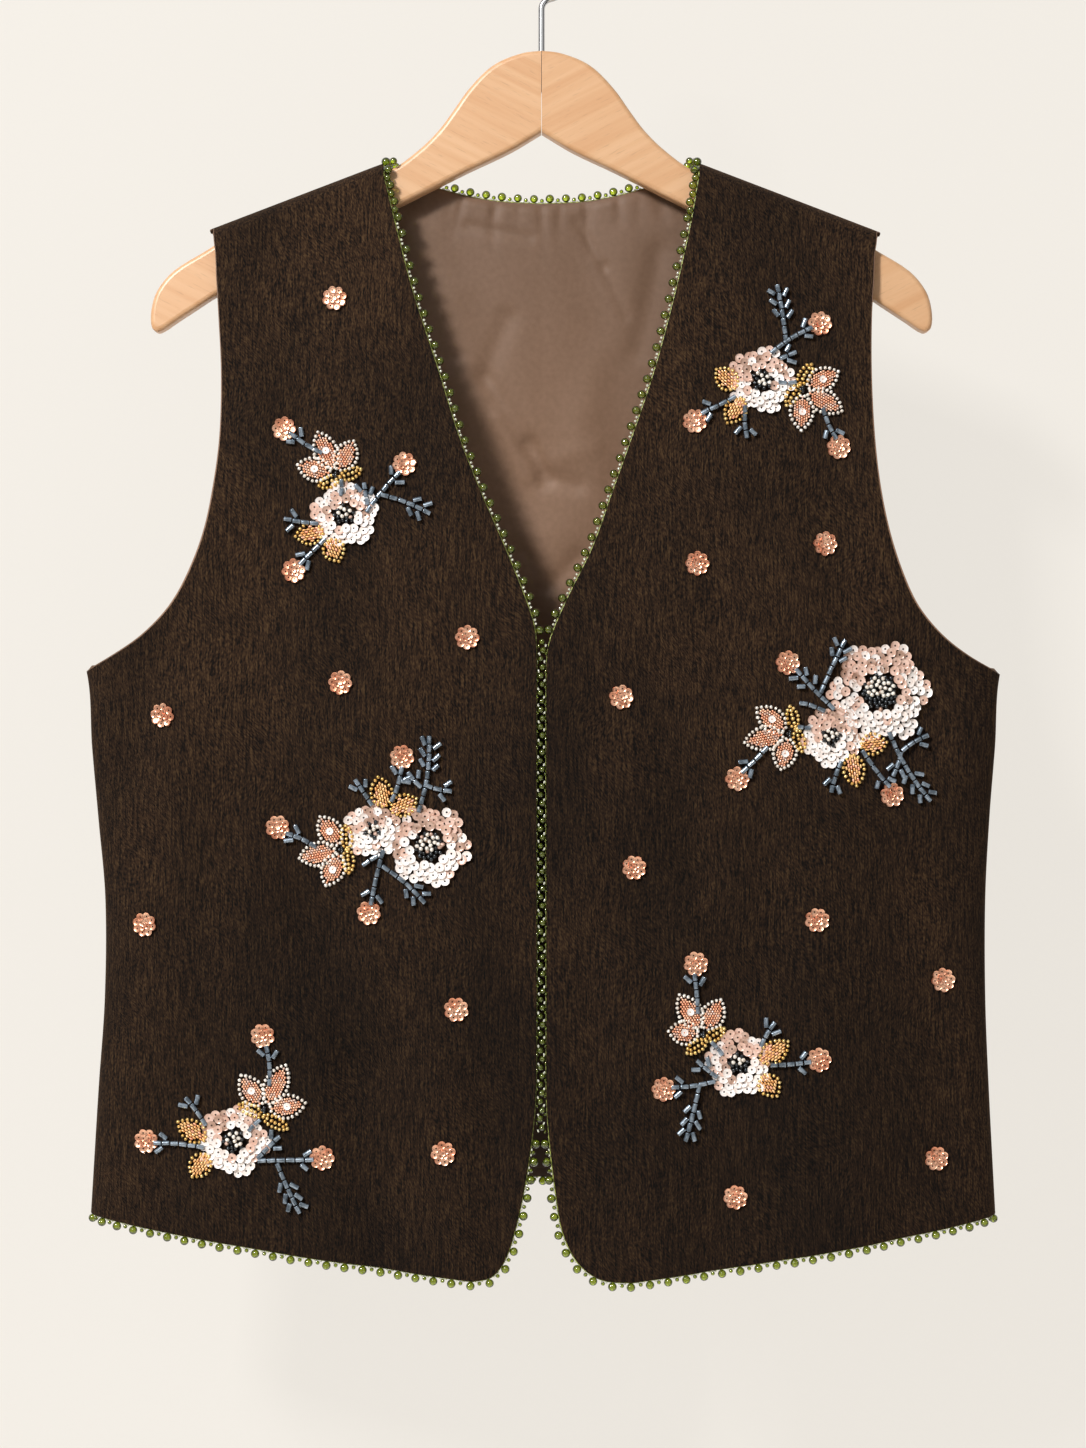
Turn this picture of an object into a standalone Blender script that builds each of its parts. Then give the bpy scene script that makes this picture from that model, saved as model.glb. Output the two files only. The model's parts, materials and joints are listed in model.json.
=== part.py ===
"""Embroidered sleeveless waistcoat hanging on a beech coat hanger.

Units are metres, +Z is up and the garment's front faces -Y. The wearer's left is +X.
The origin is the inside of the hook's top, where the hook rests on a rail. "Drop" is the
distance below the origin and "out" the distance from the centre plane X = 0, both in
millimetres in the tables. "Along" is the distance down the cloth from the shoulder ridge.
"""

import math
from collections import namedtuple

import bmesh
import bpy
from mathutils import Matrix, Vector
from mathutils.bvhtree import BVHTree
from mathutils.geometry import delaunay_2d_cdt

MM = 0.001
SEAM_GAP = 0.3 * MM

# Cloth walls
WALL = 2.2 * MM
LINING_WALL = 1.0 * MM
FRONT_COLUMNS = 12
# Columns of half the back, from the centre out: close together where the neck edge turns
# over the ridge (about half way) and at the side seam.
BACK_SHARES = (0.0, 0.14, 0.27, 0.38, 0.45, 0.495, 0.545, 0.66, 0.79, 0.9, 0.97, 1.0)
COLUMN_EASE = 1.5

# Shoulder ridge: the outside of the fold over the hanger
NECK_POINT_OUT = 89.0
NECK_POINT_DROP = 132.0
SHOULDER_SLOPE = 0.382
ARCH_DEPTH = 12.0
ARCH_RISE = 9.0
ARCH_LENGTH = 16.6
SEAM_ALONG = 6.3
FRONT_ARCH = (SEAM_ALONG, 11.2, ARCH_LENGTH)
# How far the arm end stands out past the first armhole row, and how fast both ends lean in
ARM_TIP_PAST = 2.2
NECK_LEAN = 0.05
ARM_LEAN = 0.08
BACK_ARCH = (-SEAM_ALONG, -1.0, 5.0, 10.5, ARCH_LENGTH)

# How squarely a level section closes at the side seam: 2 is an ellipse
SQUARENESS = 2.8
HEM_BOW = 1.8

Section = namedtuple("Section", "drop right left")
SIDE_SECTIONS = (
    Section(120, 335, 335),
    Section(300, 288, 290),
    Section(417, 255.6, 257.9),
    Section(460, 252.4, 254.7),
    Section(500, 248.8, 251.5),
    Section(545, 244.9, 249.2),
    Section(600, 245.2, 249.2),
    Section(650, 248.6, 251.1),
    Section(722, 253.0, 254.8),
)

Depth = namedtuple("Depth", "fall front back")
DEPTHS = (
    Depth(9, 12.0, 12.0),
    Depth(50, 15.0, 13.8),
    Depth(100, 18.6, 16.8),
    Depth(150, 22.2, 20.4),
    Depth(200, 25.6, 23.8),
    Depth(250, 28.0, 26.4),
    Depth(300, 29.6, 28.2),
    Depth(400, 31.0, 30.2),
    Depth(550, 32.8, 32.0),
    Depth(660, 33.2, 33.0),
)

# A row runs from the neck or front edge out to the armhole or side seam.
Row = namedtuple("Row", "edge_out edge_drop side_out side_drop")
ON_SEAM = None
FRONT_ROWS = {
    "right": (
        Row(86.3, 148.6, 182.2, 184.0),
        Row(82.2, 166.0, 181.6, 197.0),
        Row(72.8, 202.5, 180.1, 220.0),
        Row(57.5, 250.2, 178.5, 252.0),
        Row(46.0, 287.0, 179.2, 286.0),
        Row(33.4, 319.0, 182.6, 314.0),
        Row(21.0, 347.5, 188.0, 340.0),
        Row(10.0, 375.0, 197.0, 363.5),
        Row(4.6, 391.0, 207.5, 381.5),
        Row(2.9, 404.0, 222.0, 396.5),
        Row(2.7, 417.0, 238.0, 407.5),
        Row(2.7, 431.0, ON_SEAM, 417.3),
        Row(2.7, 470.0, ON_SEAM, 460.0),
        Row(2.7, 515.0, ON_SEAM, 508.0),
        Row(2.7, 565.0, ON_SEAM, 558.0),
        Row(2.7, 615.0, ON_SEAM, 608.0),
        Row(3.4, 655.0, ON_SEAM, 650.0),
        Row(6.0, 680.0, ON_SEAM, 678.0),
        Row(9.6, 703.0, ON_SEAM, 697.0),
        Row(15.0, 727.0, ON_SEAM, 708.5),
        Row(20.5, 743.0, ON_SEAM, 715.0),
        Row(27.5, 751.5, ON_SEAM, 718.6),
        Row(38.5, 753.8, ON_SEAM, 720.5),
    ),
    "left": (
        Row(86.8, 148.6, 186.3, 184.0),
        Row(83.8, 166.0, 185.7, 197.0),
        Row(75.6, 202.5, 184.3, 220.0),
        Row(63.0, 250.2, 184.1, 252.0),
        Row(50.6, 287.0, 185.6, 286.0),
        Row(39.2, 319.0, 188.6, 314.0),
        Row(29.0, 347.5, 193.8, 340.0),
        Row(15.6, 375.0, 201.4, 363.5),
        Row(8.4, 391.0, 210.0, 381.5),
        Row(3.9, 404.0, 223.0, 397.0),
        Row(2.7, 417.0, 238.0, 408.5),
        Row(2.6, 431.0, ON_SEAM, 419.0),
        Row(2.6, 470.0, ON_SEAM, 460.0),
        Row(2.6, 515.0, ON_SEAM, 508.0),
        Row(2.6, 565.0, ON_SEAM, 558.0),
        Row(2.6, 615.0, ON_SEAM, 608.0),
        Row(2.8, 655.0, ON_SEAM, 650.0),
        Row(4.8, 680.0, ON_SEAM, 678.0),
        Row(7.6, 703.0, ON_SEAM, 697.0),
        Row(11.8, 727.0, ON_SEAM, 708.5),
        Row(20.0, 744.0, ON_SEAM, 715.0),
        Row(32.0, 752.8, ON_SEAM, 719.0),
        Row(50.0, 754.8, ON_SEAM, 721.0),
    ),
}
# Where the armhole ends in the list above, and the back's own rows
UNDERARM_ROW = 11
BACK_ROWS = (0, 1, 2, 3, 5, 7, 9, 11, 12, 13, 14, 15, 16, 18, 20, 22)
BACK_TIP_SPREAD = 1.6
BACK_TIP_LENGTH = 18.0
BACK_NECK_FADE = 190.0
BACK_CENTRE_UNDERARM = 428.0
BACK_CENTRE_HEM = 705.3
# The lining stops this many columns short of each side
LINING_SIDE_COLUMNS = 2

NeckPoint = namedtuple("NeckPoint", "out along")
BACK_NECK = (
    NeckPoint(0.0, 62.0),
    NeckPoint(23.5, 51.6),
    NeckPoint(40.5, 42.3),
    NeckPoint(52.0, 35.0),
    NeckPoint(65.0, 26.4),
    NeckPoint(76.0, 18.2),
    NeckPoint(83.5, 9.5),
    NeckPoint(88.0, 1.5),
    NeckPoint(89.0, -SEAM_ALONG),
)

# Folds: a soft ridge (height above 0) or trough along a line on one face of the cloth
Fold = namedtuple("Fold", "face top_x top_drop foot_x foot_drop half_width height")
FRONT = -1
BACK = 1
FOLDS = (
    Fold(FRONT, -148, 185, -136, 272, 15, -1.6),
    Fold(FRONT, -212, 412, -232, 470, 13, -2.6),
    Fold(FRONT, -206, 440, -212, 640, 22, 2.8),
    Fold(FRONT, -140, 500, -100, 640, 20, -3.2),
    Fold(FRONT, -100, 640, -86, 760, 20, -3.0),
    Fold(FRONT, -58, 560, -48, 745, 24, 2.4),
    Fold(FRONT, -60, 330, -110, 470, 26, 1.6),
    Fold(FRONT, 52, 425, 84, 520, 16, -2.0),
    Fold(FRONT, 44, 590, 52, 700, 20, 2.2),
    Fold(FRONT, 100, 600, 106, 765, 22, -2.6),
    Fold(FRONT, 158, 540, 166, 760, 26, 2.4),
    Fold(FRONT, 216, 425, 222, 700, 15, -2.4),
    Fold(FRONT, 120, 300, 150, 420, 26, 1.6),
    Fold(BACK, -206, 428, -150, 530, 16, -3.0),
    Fold(BACK, -178, 520, -186, 730, 22, 2.6),
    Fold(BACK, -112, 400, -96, 730, 24, -3.2),
    Fold(BACK, -30, 330, -40, 720, 28, 2.4),
    Fold(BACK, 40, 420, 52, 720, 24, -3.0),
    Fold(BACK, 120, 380, 128, 730, 26, 2.6),
    Fold(BACK, 210, 430, 168, 560, 16, -2.8),
    Fold(BACK, 180, 560, 190, 730, 18, -2.2),
    Fold(BACK, -14, 180, 16, 330, 24, -2.0),
)

# Beaded edging: large glass beads on a picot of seed beads
BEAD_RADIUS = 2.35
BEAD_PITCH = 9.3
PICOT_RADIUS = 0.9
CENTRE_BEAD_RADIUS = 2.1
CENTRE_STATIONS = 16
STRAND_SIDES = 4
NECK_BEADS_END = 392.0
CENTRE_BEADS_START = 399.5
CENTRE_BEADS_END = 671.0
HEM_BEADS_START = 678.0
PAST_HEM = 1000.0

# Embroidery: raised work sewn on the fronts
WORK_CLEARANCE = 0.45 * MM
TWIG_WIDTH = 2.3
STUB_LENGTH = 5.5
STUB_ANGLE = 55.0
STUBS_SHOWN = 2

# A spray is laid out from the middle of its main flower: +x is the wearer's left. Size is a
# radius (flower, floret), a width (leaf, petal, calyx) or a number of side stubs (twig).
Piece = namedtuple("Piece", "kind x drop to_x to_drop size")
Spray = namedtuple("Spray", "side x drop pieces")
SPRAYS = {
    "right_chest": Spray("right", -109, 331, (
        Piece("flower", 0, 0, 0, 0, 18),
        Piece("petal", -5, -22, -15, -46, 11),
        Piece("petal", -5, -22, 5, -41, 11),
        Piece("petal", -5, -22, -26, -28, 11),
        Piece("calyx", -14, -16, 9, -25, 6),
        Piece("leaf", -9, 9, -27, 12, 10),
        Piece("leaf", -9, 12, -3, 26, 10),
        Piece("twig", -12, -34, -31, -46, 1),
        Piece("twig", 12, -1, 31, -24, 1),
        Piece("twig", 20, -11, 48, 0, 2),
        Piece("twig", 13, -5, 11, -18, 1),
        Piece("twig", -14, 5, -34, 2, 1),
        Piece("twig", -10, 13, -25, 28, 1),
        Piece("twig", -2, -10, -2, -20, 0),
        Piece("floret", -34, -48, 0, 0, 6),
        Piece("floret", 33, -28, 0, 0, 6),
        Piece("floret", -28, 31, 0, 0, 6),
    )),
    "right_waist": Spray("right", -62, 514, (
        Piece("flower", 0, 0, 0, 0, 22),
        Piece("flower", -31, -9, 0, 0, 15),
        Piece("petal", -48, 2, -60, -16, 11),
        Piece("petal", -48, 2, -72, 7, 11),
        Piece("petal", -48, 2, -57, 22, 11),
        Piece("calyx", -46, -11, -44, 15, 6),
        Piece("leaf", -24, -19, -28, -38, 10),
        Piece("leaf", -23, -18, -7, -26, 10),
        Piece("twig", -6, -18, 0, -61, 3),
        Piece("twig", -3, -34, 13, -30, 1),
        Piece("twig", -4, -32, -12, -41, 1),
        Piece("twig", -21, -24, -15, -44, 1),
        Piece("twig", -31, -22, -41, -37, 1),
        Piece("twig", -62, 1, -80, -7, 1),
        Piece("twig", -25, 2, -32, 33, 1),
        Piece("twig", -26, 11, -2, 32, 2),
        Piece("twig", -28, 5, -37, 11, 0),
        Piece("floret", -15, -49, 0, 0, 6),
        Piece("floret", -84, -10, 0, 0, 6),
        Piece("floret", -33, 37, 0, 0, 6),
    )),
    "right_hem": Spray("right", -170, 677, (
        Piece("flower", 0, 0, 0, 0, 19),
        Piece("petal", 17, -17, 4, -36, 11),
        Piece("petal", 17, -17, 29, -42, 11),
        Piece("petal", 17, -17, 40, -21, 11),
        Piece("calyx", 3, -20, 30, -7, 6),
        Piece("leaf", -13, 1, -31, -10, 10),
        Piece("leaf", -13, 6, -23, 20, 10),
        Piece("twig", 20, -30, 18, -53, 1),
        Piece("twig", -16, 4, -45, 2, 1),
        Piece("twig", -15, -8, -27, -24, 1),
        Piece("twig", 13, 11, 45, 10, 1),
        Piece("twig", 24, 12, 37, 40, 3),
        Piece("twig", 13, 10, 26, -3, 1),
        Piece("twig", 8, -5, 15, -12, 0),
        Piece("floret", 16, -58, 0, 0, 6),
        Piece("floret", -49, 1, 0, 0, 6),
        Piece("floret", 49, 9, 0, 0, 6),
    )),
    "left_chest": Spray("left", 122, 256, (
        Piece("flower", 0, 0, 0, 0, 18),
        Piece("petal", 23, 5, 43, -5, 11),
        Piece("petal", 23, 5, 45, 17, 11),
        Piece("petal", 23, 5, 22, 28, 11),
        Piece("calyx", 28, -9, 14, 14, 6),
        Piece("leaf", -12, 6, -25, -6, 10),
        Piece("leaf", -9, 8, -19, 24, 10),
        Piece("twig", 5, -15, 29, -30, 1),
        Piece("twig", 14, -21, 9, -54, 3),
        Piece("twig", 10, -12, 20, -16, 1),
        Piece("twig", 9, 1, 20, 1, 0),
        Piece("twig", -14, 9, -34, 19, 1),
        Piece("twig", -9, 14, -8, 33, 1),
        Piece("twig", 34, 15, 42, 33, 1),
        Piece("floret", 33, -32, 0, 0, 6),
        Piece("floret", -37, 23, 0, 0, 6),
        Piece("floret", 43, 37, 0, 0, 6),
    )),
    "left_waist": Spray("left", 187, 429, (
        Piece("flower", 0, 0, 0, 0, 27),
        Piece("flower", -27, 25, 0, 0, 16),
        Piece("petal", -50, 23, -68, 9, 11),
        Piece("petal", -50, 23, -75, 28, 11),
        Piece("petal", -50, 23, -55, 43, 11),
        Piece("calyx", -50, 8, -43, 33, 6),
        Piece("leaf", -13, 30, 4, 28, 10),
        Piece("leaf", -16, 32, -13, 52, 10),
        Piece("twig", -25, 10, -47, -13, 2),
        Piece("twig", -33, 1, -19, -29, 2),
        Piece("twig", -30, 11, -45, 6, 0),
        Piece("twig", -62, 30, -77, 45, 1),
        Piece("twig", 5, 22, 29, 61, 3),
        Piece("twig", 12, 33, 28, 24, 1),
        Piece("twig", 12, 33, 7, 47, 1),
        Piece("twig", -10, 32, 6, 53, 1),
        Piece("twig", -21, 38, -27, 56, 1),
        Piece("twig", -38, 20, -46, 19, 0),
        Piece("floret", -51, -16, 0, 0, 6),
        Piece("floret", -79, 48, 0, 0, 6),
        Piece("floret", 7, 57, 0, 0, 6),
    )),
    "left_hem": Spray("left", 109, 634, (
        Piece("flower", 0, 0, 0, 0, 18),
        Piece("petal", -20, -16, -33, -38, 11),
        Piece("petal", -20, -16, -10, -35, 11),
        Piece("petal", -20, -16, -39, -18, 11),
        Piece("calyx", -29, -6, -8, -19, 6),
        Piece("leaf", 10, 1, 27, -12, 10),
        Piece("leaf", 12, 5, 21, 18, 10),
        Piece("twig", -23, -27, -25, -50, 1),
        Piece("twig", 17, 1, 40, -1, 1),
        Piece("twig", 12, -9, 20, -23, 1),
        Piece("twig", -13, 10, -38, 13, 1),
        Piece("twig", -22, 11, -30, 43, 3),
        Piece("twig", -12, 8, -24, -2, 1),
        Piece("twig", -9, -4, -16, -12, 0),
        Piece("floret", -24, -55, 0, 0, 6),
        Piece("floret", 44, -2, 0, 0, 6),
        Piece("floret", -42, 14, 0, 0, 6),
    )),
}

Lone = namedtuple("Lone", "x drop")
LONE_FLORETS = {
    "right": (
        Lone(-115, 210), Lone(-41, 399), Lone(-111, 424), Lone(-210, 442),
        Lone(-220, 558), Lone(-47, 604), Lone(-54, 683),
    ),
    "left": (
        Lone(86, 358), Lone(157, 347), Lone(44, 432), Lone(51, 526),
        Lone(152, 555), Lone(223, 589), Lone(219, 688), Lone(107, 708),
    ),
}

# How high the work stands: at its rim, and at the crown of each kind
RIM_HEIGHT = 1.0
CROWN_HEIGHT = {
    "flower": 3.4,
    "petal": 2.3,
    "leaf": 2.1,
    "calyx": 2.2,
    "twig": 1.9,
    "floret": 1.8,
}
FLOWER_EYE = 0.25
EYE_HOLLOW = 1.1
FLOWER_POINTS = 10
FLOWER_RUFFLE = 0.1
CROWN_RING = 0.6
CROWN_POINTS = 5
FLORET_POINTS = 8
FLORET_RADIUS = 6
# Outlines about a line: (share of the length, share of the half width)
LEAF_OUTLINE = ((0, 0.3), (0.3, 0.9), (0.65, 0.85), (1, 0))
BAR_OUTLINE = ((0, 1), (1, 1))

# Hanger
BOARD_THICKNESS = 13.0
BOARD_ROUNDING = 3.0
MITRE_GAP = 0.3
HOOK_WIRE_RADIUS = 1.9
HOOK_INNER_RADIUS = 19.0
HOOK_NECK_RADIUS = 6.0
HOOK_END_ANGLE = 205.0
HOOK_BORE_CLEARANCE = 0.3
HOOK_BORE_TOP = 50.0
HOOK_FOOT_DROP = 92.0
HOOK_STEPS = 20
HOOK_NECK_STEPS = 4

BoardPoint = namedtuple("BoardPoint", "out drop")
BOARD_TOP = (
    BoardPoint(0.0, 69.3),
    BoardPoint(10.1, 70.5),
    BoardPoint(22.9, 75.1),
    BoardPoint(31.3, 80.8),
    BoardPoint(41.7, 92.0),
    BoardPoint(49.5, 103.1),
    BoardPoint(57.9, 114.3),
    BoardPoint(69.4, 125.5),
    BoardPoint(85.1, 136.4),
    BoardPoint(110.0, 144.0),
    BoardPoint(135.0, 153.4),
    BoardPoint(155.0, 162.0),
    BoardPoint(172.0, 171.3),
    BoardPoint(187.8, 181.3),
    BoardPoint(206.3, 192.9),
    BoardPoint(215.5, 204.0),
    BoardPoint(218.8, 215.0),
    BoardPoint(218.4, 224.6),
)
BOARD_UNDER = (
    BoardPoint(214.5, 227.0),
    BoardPoint(204.8, 221.0),
    BoardPoint(193.5, 213.6),
    BoardPoint(182.0, 206.3),
    BoardPoint(134.0, 182.6),
    BoardPoint(74.7, 153.6),
    BoardPoint(41.7, 137.0),
    BoardPoint(17.6, 125.6),
    BoardPoint(0.0, 115.2),
)


# ---------------------------------------------------------------- curves through tables


def smooth_row(keys, rows, key):
    """The rows' values at this key, on a smooth curve through them all."""
    last = len(keys) - 1
    key = min(max(key, keys[0]), keys[last])
    i = next((n for n in range(last) if key <= keys[n + 1]), last - 1)

    def slope(n, value):
        before = max(n - 1, 0)
        after = min(n + 1, last)
        return (rows[after][value] - rows[before][value]) / (keys[after] - keys[before])

    span = keys[i + 1] - keys[i]
    t = (key - keys[i]) / span
    found = []
    for value in range(len(rows[0])):
        rise = rows[i + 1][value] - rows[i][value]
        m0 = slope(i, value) * span
        m1 = slope(i + 1, value) * span
        curve = rise * t * t * (3 - 2 * t) + m0 * t * (1 - t) ** 2 + m1 * t * t * (t - 1)
        found.append(rows[i][value] + curve)
    return found


def side_out(side, drop):
    keys = [section.drop for section in SIDE_SECTIONS]
    right, left = smooth_row(keys, [section[1:] for section in SIDE_SECTIONS], drop)
    return left if side > 0 else right


def cloth_depth(face, fall):
    keys = [depth.fall for depth in DEPTHS]
    front, back = smooth_row(keys, [depth[1:] for depth in DEPTHS], fall)
    return back if face == BACK else front


def ridge_drop(out):
    return NECK_POINT_DROP + SHOULDER_SLOPE * (out - NECK_POINT_OUT)


def along_at(out, drop):
    """Distance down the cloth of a point that lies at this drop, below the shoulder arch."""
    return ARCH_LENGTH + drop - ridge_drop(out) - ARCH_RISE


# ---------------------------------------------------------------- the cloth's surface


def fold_height(face, x, drop):
    total = 0.0
    for fold in FOLDS:
        if fold.face != face:
            continue
        line_x = fold.foot_x - fold.top_x
        line_drop = fold.foot_drop - fold.top_drop
        length_2 = line_x**2 + line_drop**2
        t = ((x - fold.top_x) * line_x + (drop - fold.top_drop) * line_drop) / length_2
        t = min(max(t, 0.0), 1.0)
        off_x = x - fold.top_x - t * line_x
        off_drop = drop - fold.top_drop - t * line_drop
        total += fold.height * math.exp(-(off_x**2 + off_drop**2) / fold.half_width**2)
    return total


def cloth_point(side, face, out, along):
    """A point on the outside of the garment. A negative along lies past the ridge."""
    if along < ARCH_LENGTH:
        angle = along / ARCH_LENGTH * math.pi / 2
        depth = ARCH_DEPTH * math.sin(angle)
        drop = ridge_drop(out) + ARCH_RISE * (1 - math.cos(angle))
    else:
        fall = along - ARCH_LENGTH + ARCH_RISE
        drop = ridge_drop(out) + fall
        depth = cloth_depth(face, fall) + fold_height(face, side * out, drop)
    across = min(abs(out) / side_out(side, drop), 1.0)
    closing = (1 - across**SQUARENESS) ** (1 / SQUARENESS)
    return Vector((side * out, face * depth * closing, -drop)) * MM


def cloth_normal(side, face, out, along):
    step = 0.4
    over = cloth_point(side, face, out + step, along) - cloth_point(side, face, out - step, along)
    down = cloth_point(side, face, out, along + step) - cloth_point(side, face, out, along - step)
    return over.cross(down).normalized() * (side * face)


def wall_pair(side, face, out, along, on_seam, wall, inset=0.0):
    """Outer and inner points of a wall. At a side seam both lie in the seam's own plane."""
    point = cloth_point(side, face, out, along)
    if on_seam:
        inward = Vector((-side, 0, 0))
        point = Vector((point.x, face * SEAM_GAP / 2, point.z))
    else:
        inward = -cloth_normal(side, face, out, along)
    return point + inward * inset, point + inward * (inset + wall)


def ease(share):
    """Sets columns closer together towards the side seam, where the cloth turns."""
    return 1 - (1 - share) ** COLUMN_EASE


def outer_edge(side, row):
    out = side_out(side, row.side_drop) if row.side_out is ON_SEAM else row.side_out
    return out, along_at(out, row.side_drop)


def front_grid(side, name):
    """Rows of (outer, inner) points of one front, from its front edge to its side."""
    arm_tip = FRONT_ROWS[name][0].side_out + ARM_TIP_PAST
    lines = []
    for along in FRONT_ARCH:
        start = along + (SEAM_GAP / MM / 2 if along == SEAM_ALONG else 0)
        edge_out = NECK_POINT_OUT - NECK_LEAN * along
        lines.append((edge_out, start, arm_tip - ARM_LEAN * along, start, 0, False))
    for number, row in enumerate(FRONT_ROWS[name]):
        out, along = outer_edge(side, row)
        edge_along = along_at(row.edge_out, row.edge_drop)
        bow = HEM_BOW * max(0, number - UNDERARM_ROW) / (len(FRONT_ROWS[name]) - UNDERARM_ROW)
        lines.append((row.edge_out, edge_along, out, along, bow, row.side_out is ON_SEAM))
    grid = []
    for edge_out, edge_along, out, along, bow, seam in lines:
        points = []
        for column in range(FRONT_COLUMNS + 1):
            s = ease(column / FRONT_COLUMNS)
            at_out = edge_out + s * (out - edge_out)
            at_along = edge_along + s * (along - edge_along) + bow * 4 * s * (1 - s)
            last = seam and column == FRONT_COLUMNS
            points.append(wall_pair(side, FRONT, at_out, at_along, last, WALL))
        grid.append(points)
    return grid


def back_neck_line():
    """The back's top edge, from the centre over the ridge and along the shoulder seam."""
    line = [(point.out, point.along) for point in BACK_NECK]
    lengths = [0.0]
    for before, after in zip(line, line[1:]):
        lengths.append(lengths[-1] + math.dist(before, after))
    return line, lengths


def back_half(side, name, wall, inset):
    """Rows of (outer, inner) points of half the back, from the centre to the side."""
    line, lengths = back_neck_line()
    tip = FRONT_ROWS[name][0].side_out + ARM_TIP_PAST
    whole = lengths[-1] + tip - NECK_POINT_OUT
    outer = []
    for along in BACK_ARCH:
        start = along + (SEAM_GAP / MM / 2 if along == -SEAM_ALONG else 0)
        outer.append((tip - NECK_LEAN * max(along, 0), start, False))
    for number in BACK_ROWS:
        row = FRONT_ROWS[name][number]
        out, along = outer_edge(side, row)
        outer.append((out, along, row.side_out is ON_SEAM))
    top = line[0][1]
    underarm = outer_edge(side, FRONT_ROWS[name][UNDERARM_ROW])[1]
    hem = outer[-1][1]
    centre_keys = (-SEAM_ALONG, underarm, hem)
    centres = ((top,), (along_at(0, BACK_CENTRE_UNDERARM),), (along_at(0, BACK_CENTRE_HEM),))
    grid = []
    for out, along, seam in outer:
        spread = BACK_TIP_SPREAD * math.exp(-((along / BACK_TIP_LENGTH) ** 2))
        share = (along + SEAM_ALONG) / (centre_keys[1] + SEAM_ALONG)
        if share < 1:
            centre = centres[0][0] + share * (centres[1][0] - centres[0][0])
        else:
            share = (along - centre_keys[1]) / (centre_keys[2] - centre_keys[1])
            centre = centres[1][0] + share * (centres[2][0] - centres[1][0])
        fade = max(0.0, 1 - (along + SEAM_ALONG) / BACK_NECK_FADE) ** 2
        points = []
        for s in BACK_SHARES:
            walked = s * whole
            if walked < lengths[-1]:
                top_out, top_along = smooth_row(lengths, line, walked)
            else:
                top_out = NECK_POINT_OUT + walked - lengths[-1]
                top_along = -SEAM_ALONG
            level_out = s * (out + spread)
            level_along = centre + s * (along - centre)
            at_out = level_out + fade * (top_out - s * tip)
            at_along = level_along + fade * (top_along - top - s * (-SEAM_ALONG - top))
            last = seam and s == 1
            points.append(wall_pair(side, BACK, at_out, at_along, last, wall, inset))
        grid.append(points)
    return grid


def back_grid(wall, inset):
    """The whole back: the right half's columns reversed, the centre once, then the left's."""
    right = back_half(-1, "right", wall, inset)
    left = back_half(1, "left", wall, inset)
    return [right_row[:0:-1] + left_row for right_row, left_row in zip(right, left)]


# ---------------------------------------------------------------- making objects


def clear_scene():
    for obj in list(bpy.data.objects):
        bpy.data.objects.remove(obj, do_unlink=True)


def new_collection(name):
    collection = bpy.data.collections.new(name)
    bpy.context.scene.collection.children.link(collection)
    return collection


def make_material(name, colour, roughness, metallic=0.0):
    material = bpy.data.materials.new(name)
    material.use_nodes = True
    shader = material.node_tree.nodes["Principled BSDF"]
    shader.inputs["Base Color"].default_value = (*colour, 1)
    shader.inputs["Roughness"].default_value = roughness
    shader.inputs["Metallic"].default_value = metallic
    return material


def add_object(name, bm, collection, material, smooth_angle=35):
    bmesh.ops.recalc_face_normals(bm, faces=bm.faces)
    mesh = bpy.data.meshes.new(name)
    bm.to_mesh(mesh)
    bm.free()
    mesh.materials.append(material)
    mesh.shade_smooth()
    mesh.set_sharp_from_angle(angle=math.radians(smooth_angle))
    obj = bpy.data.objects.new(name, mesh)
    collection.objects.link(obj)
    return obj


def wall_mesh(grid):
    """A closed wall from rows of (outer, inner) points, with its four rims."""
    bm = bmesh.new()
    skins = [[[bm.verts.new(pair[skin]) for pair in row] for row in grid] for skin in (0, 1)]
    rows = len(grid)
    columns = len(grid[0])
    for verts in skins:
        for r in range(rows - 1):
            for c in range(columns - 1):
                corners = (verts[r][c], verts[r][c + 1], verts[r + 1][c + 1], verts[r + 1][c])
                bm.faces.new(corners)
    around = [(0, c) for c in range(columns - 1)]
    around += [(r, columns - 1) for r in range(rows - 1)]
    around += [(rows - 1, c) for c in range(columns - 1, 0, -1)]
    around += [(r, 0) for r in range(rows - 1, 0, -1)]
    for (r, c), (next_r, next_c) in zip(around, around[1:] + around[:1]):
        outer, inner = skins
        bm.faces.new((outer[r][c], outer[next_r][next_c], inner[next_r][next_c], inner[r][c]))
    return bm


# ---------------------------------------------------------------- beaded edging


def edge_rail(pairs, neighbours):
    """Along an edge: the wall's middle, the way off the cloth and the cloth's normal."""
    rail = []
    for (outer, inner), (near_outer, near_inner) in zip(pairs, neighbours):
        middle = (outer + inner) / 2
        normal = (outer - inner).normalized()
        away = middle - (near_outer + near_inner) / 2
        rail.append((middle, away, normal))
    points = []
    for i, (middle, away, normal) in enumerate(rail):
        before = rail[max(i - 1, 0)][0]
        after = rail[min(i + 1, len(rail) - 1)][0]
        course = (after - before).normalized()
        away = away - away.dot(course) * course
        away = (away - away.dot(normal) * normal).normalized()
        points.append((middle, away, normal))
    return points


def walk_rail(rail, distance):
    """The middle, outward way and normal at this distance along the rail."""
    for (a, away_a, normal_a), (b, away_b, normal_b) in zip(rail, rail[1:]):
        length = (b - a).length
        if distance <= length:
            t = distance / length
            away = away_a.lerp(away_b, t).normalized()
            return a.lerp(b, t), away, normal_a.lerp(normal_b, t).normalized()
        distance -= length
    return rail[-1]


def rail_length(rail):
    return sum((b[0] - a[0]).length for a, b in zip(rail, rail[1:]))


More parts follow.
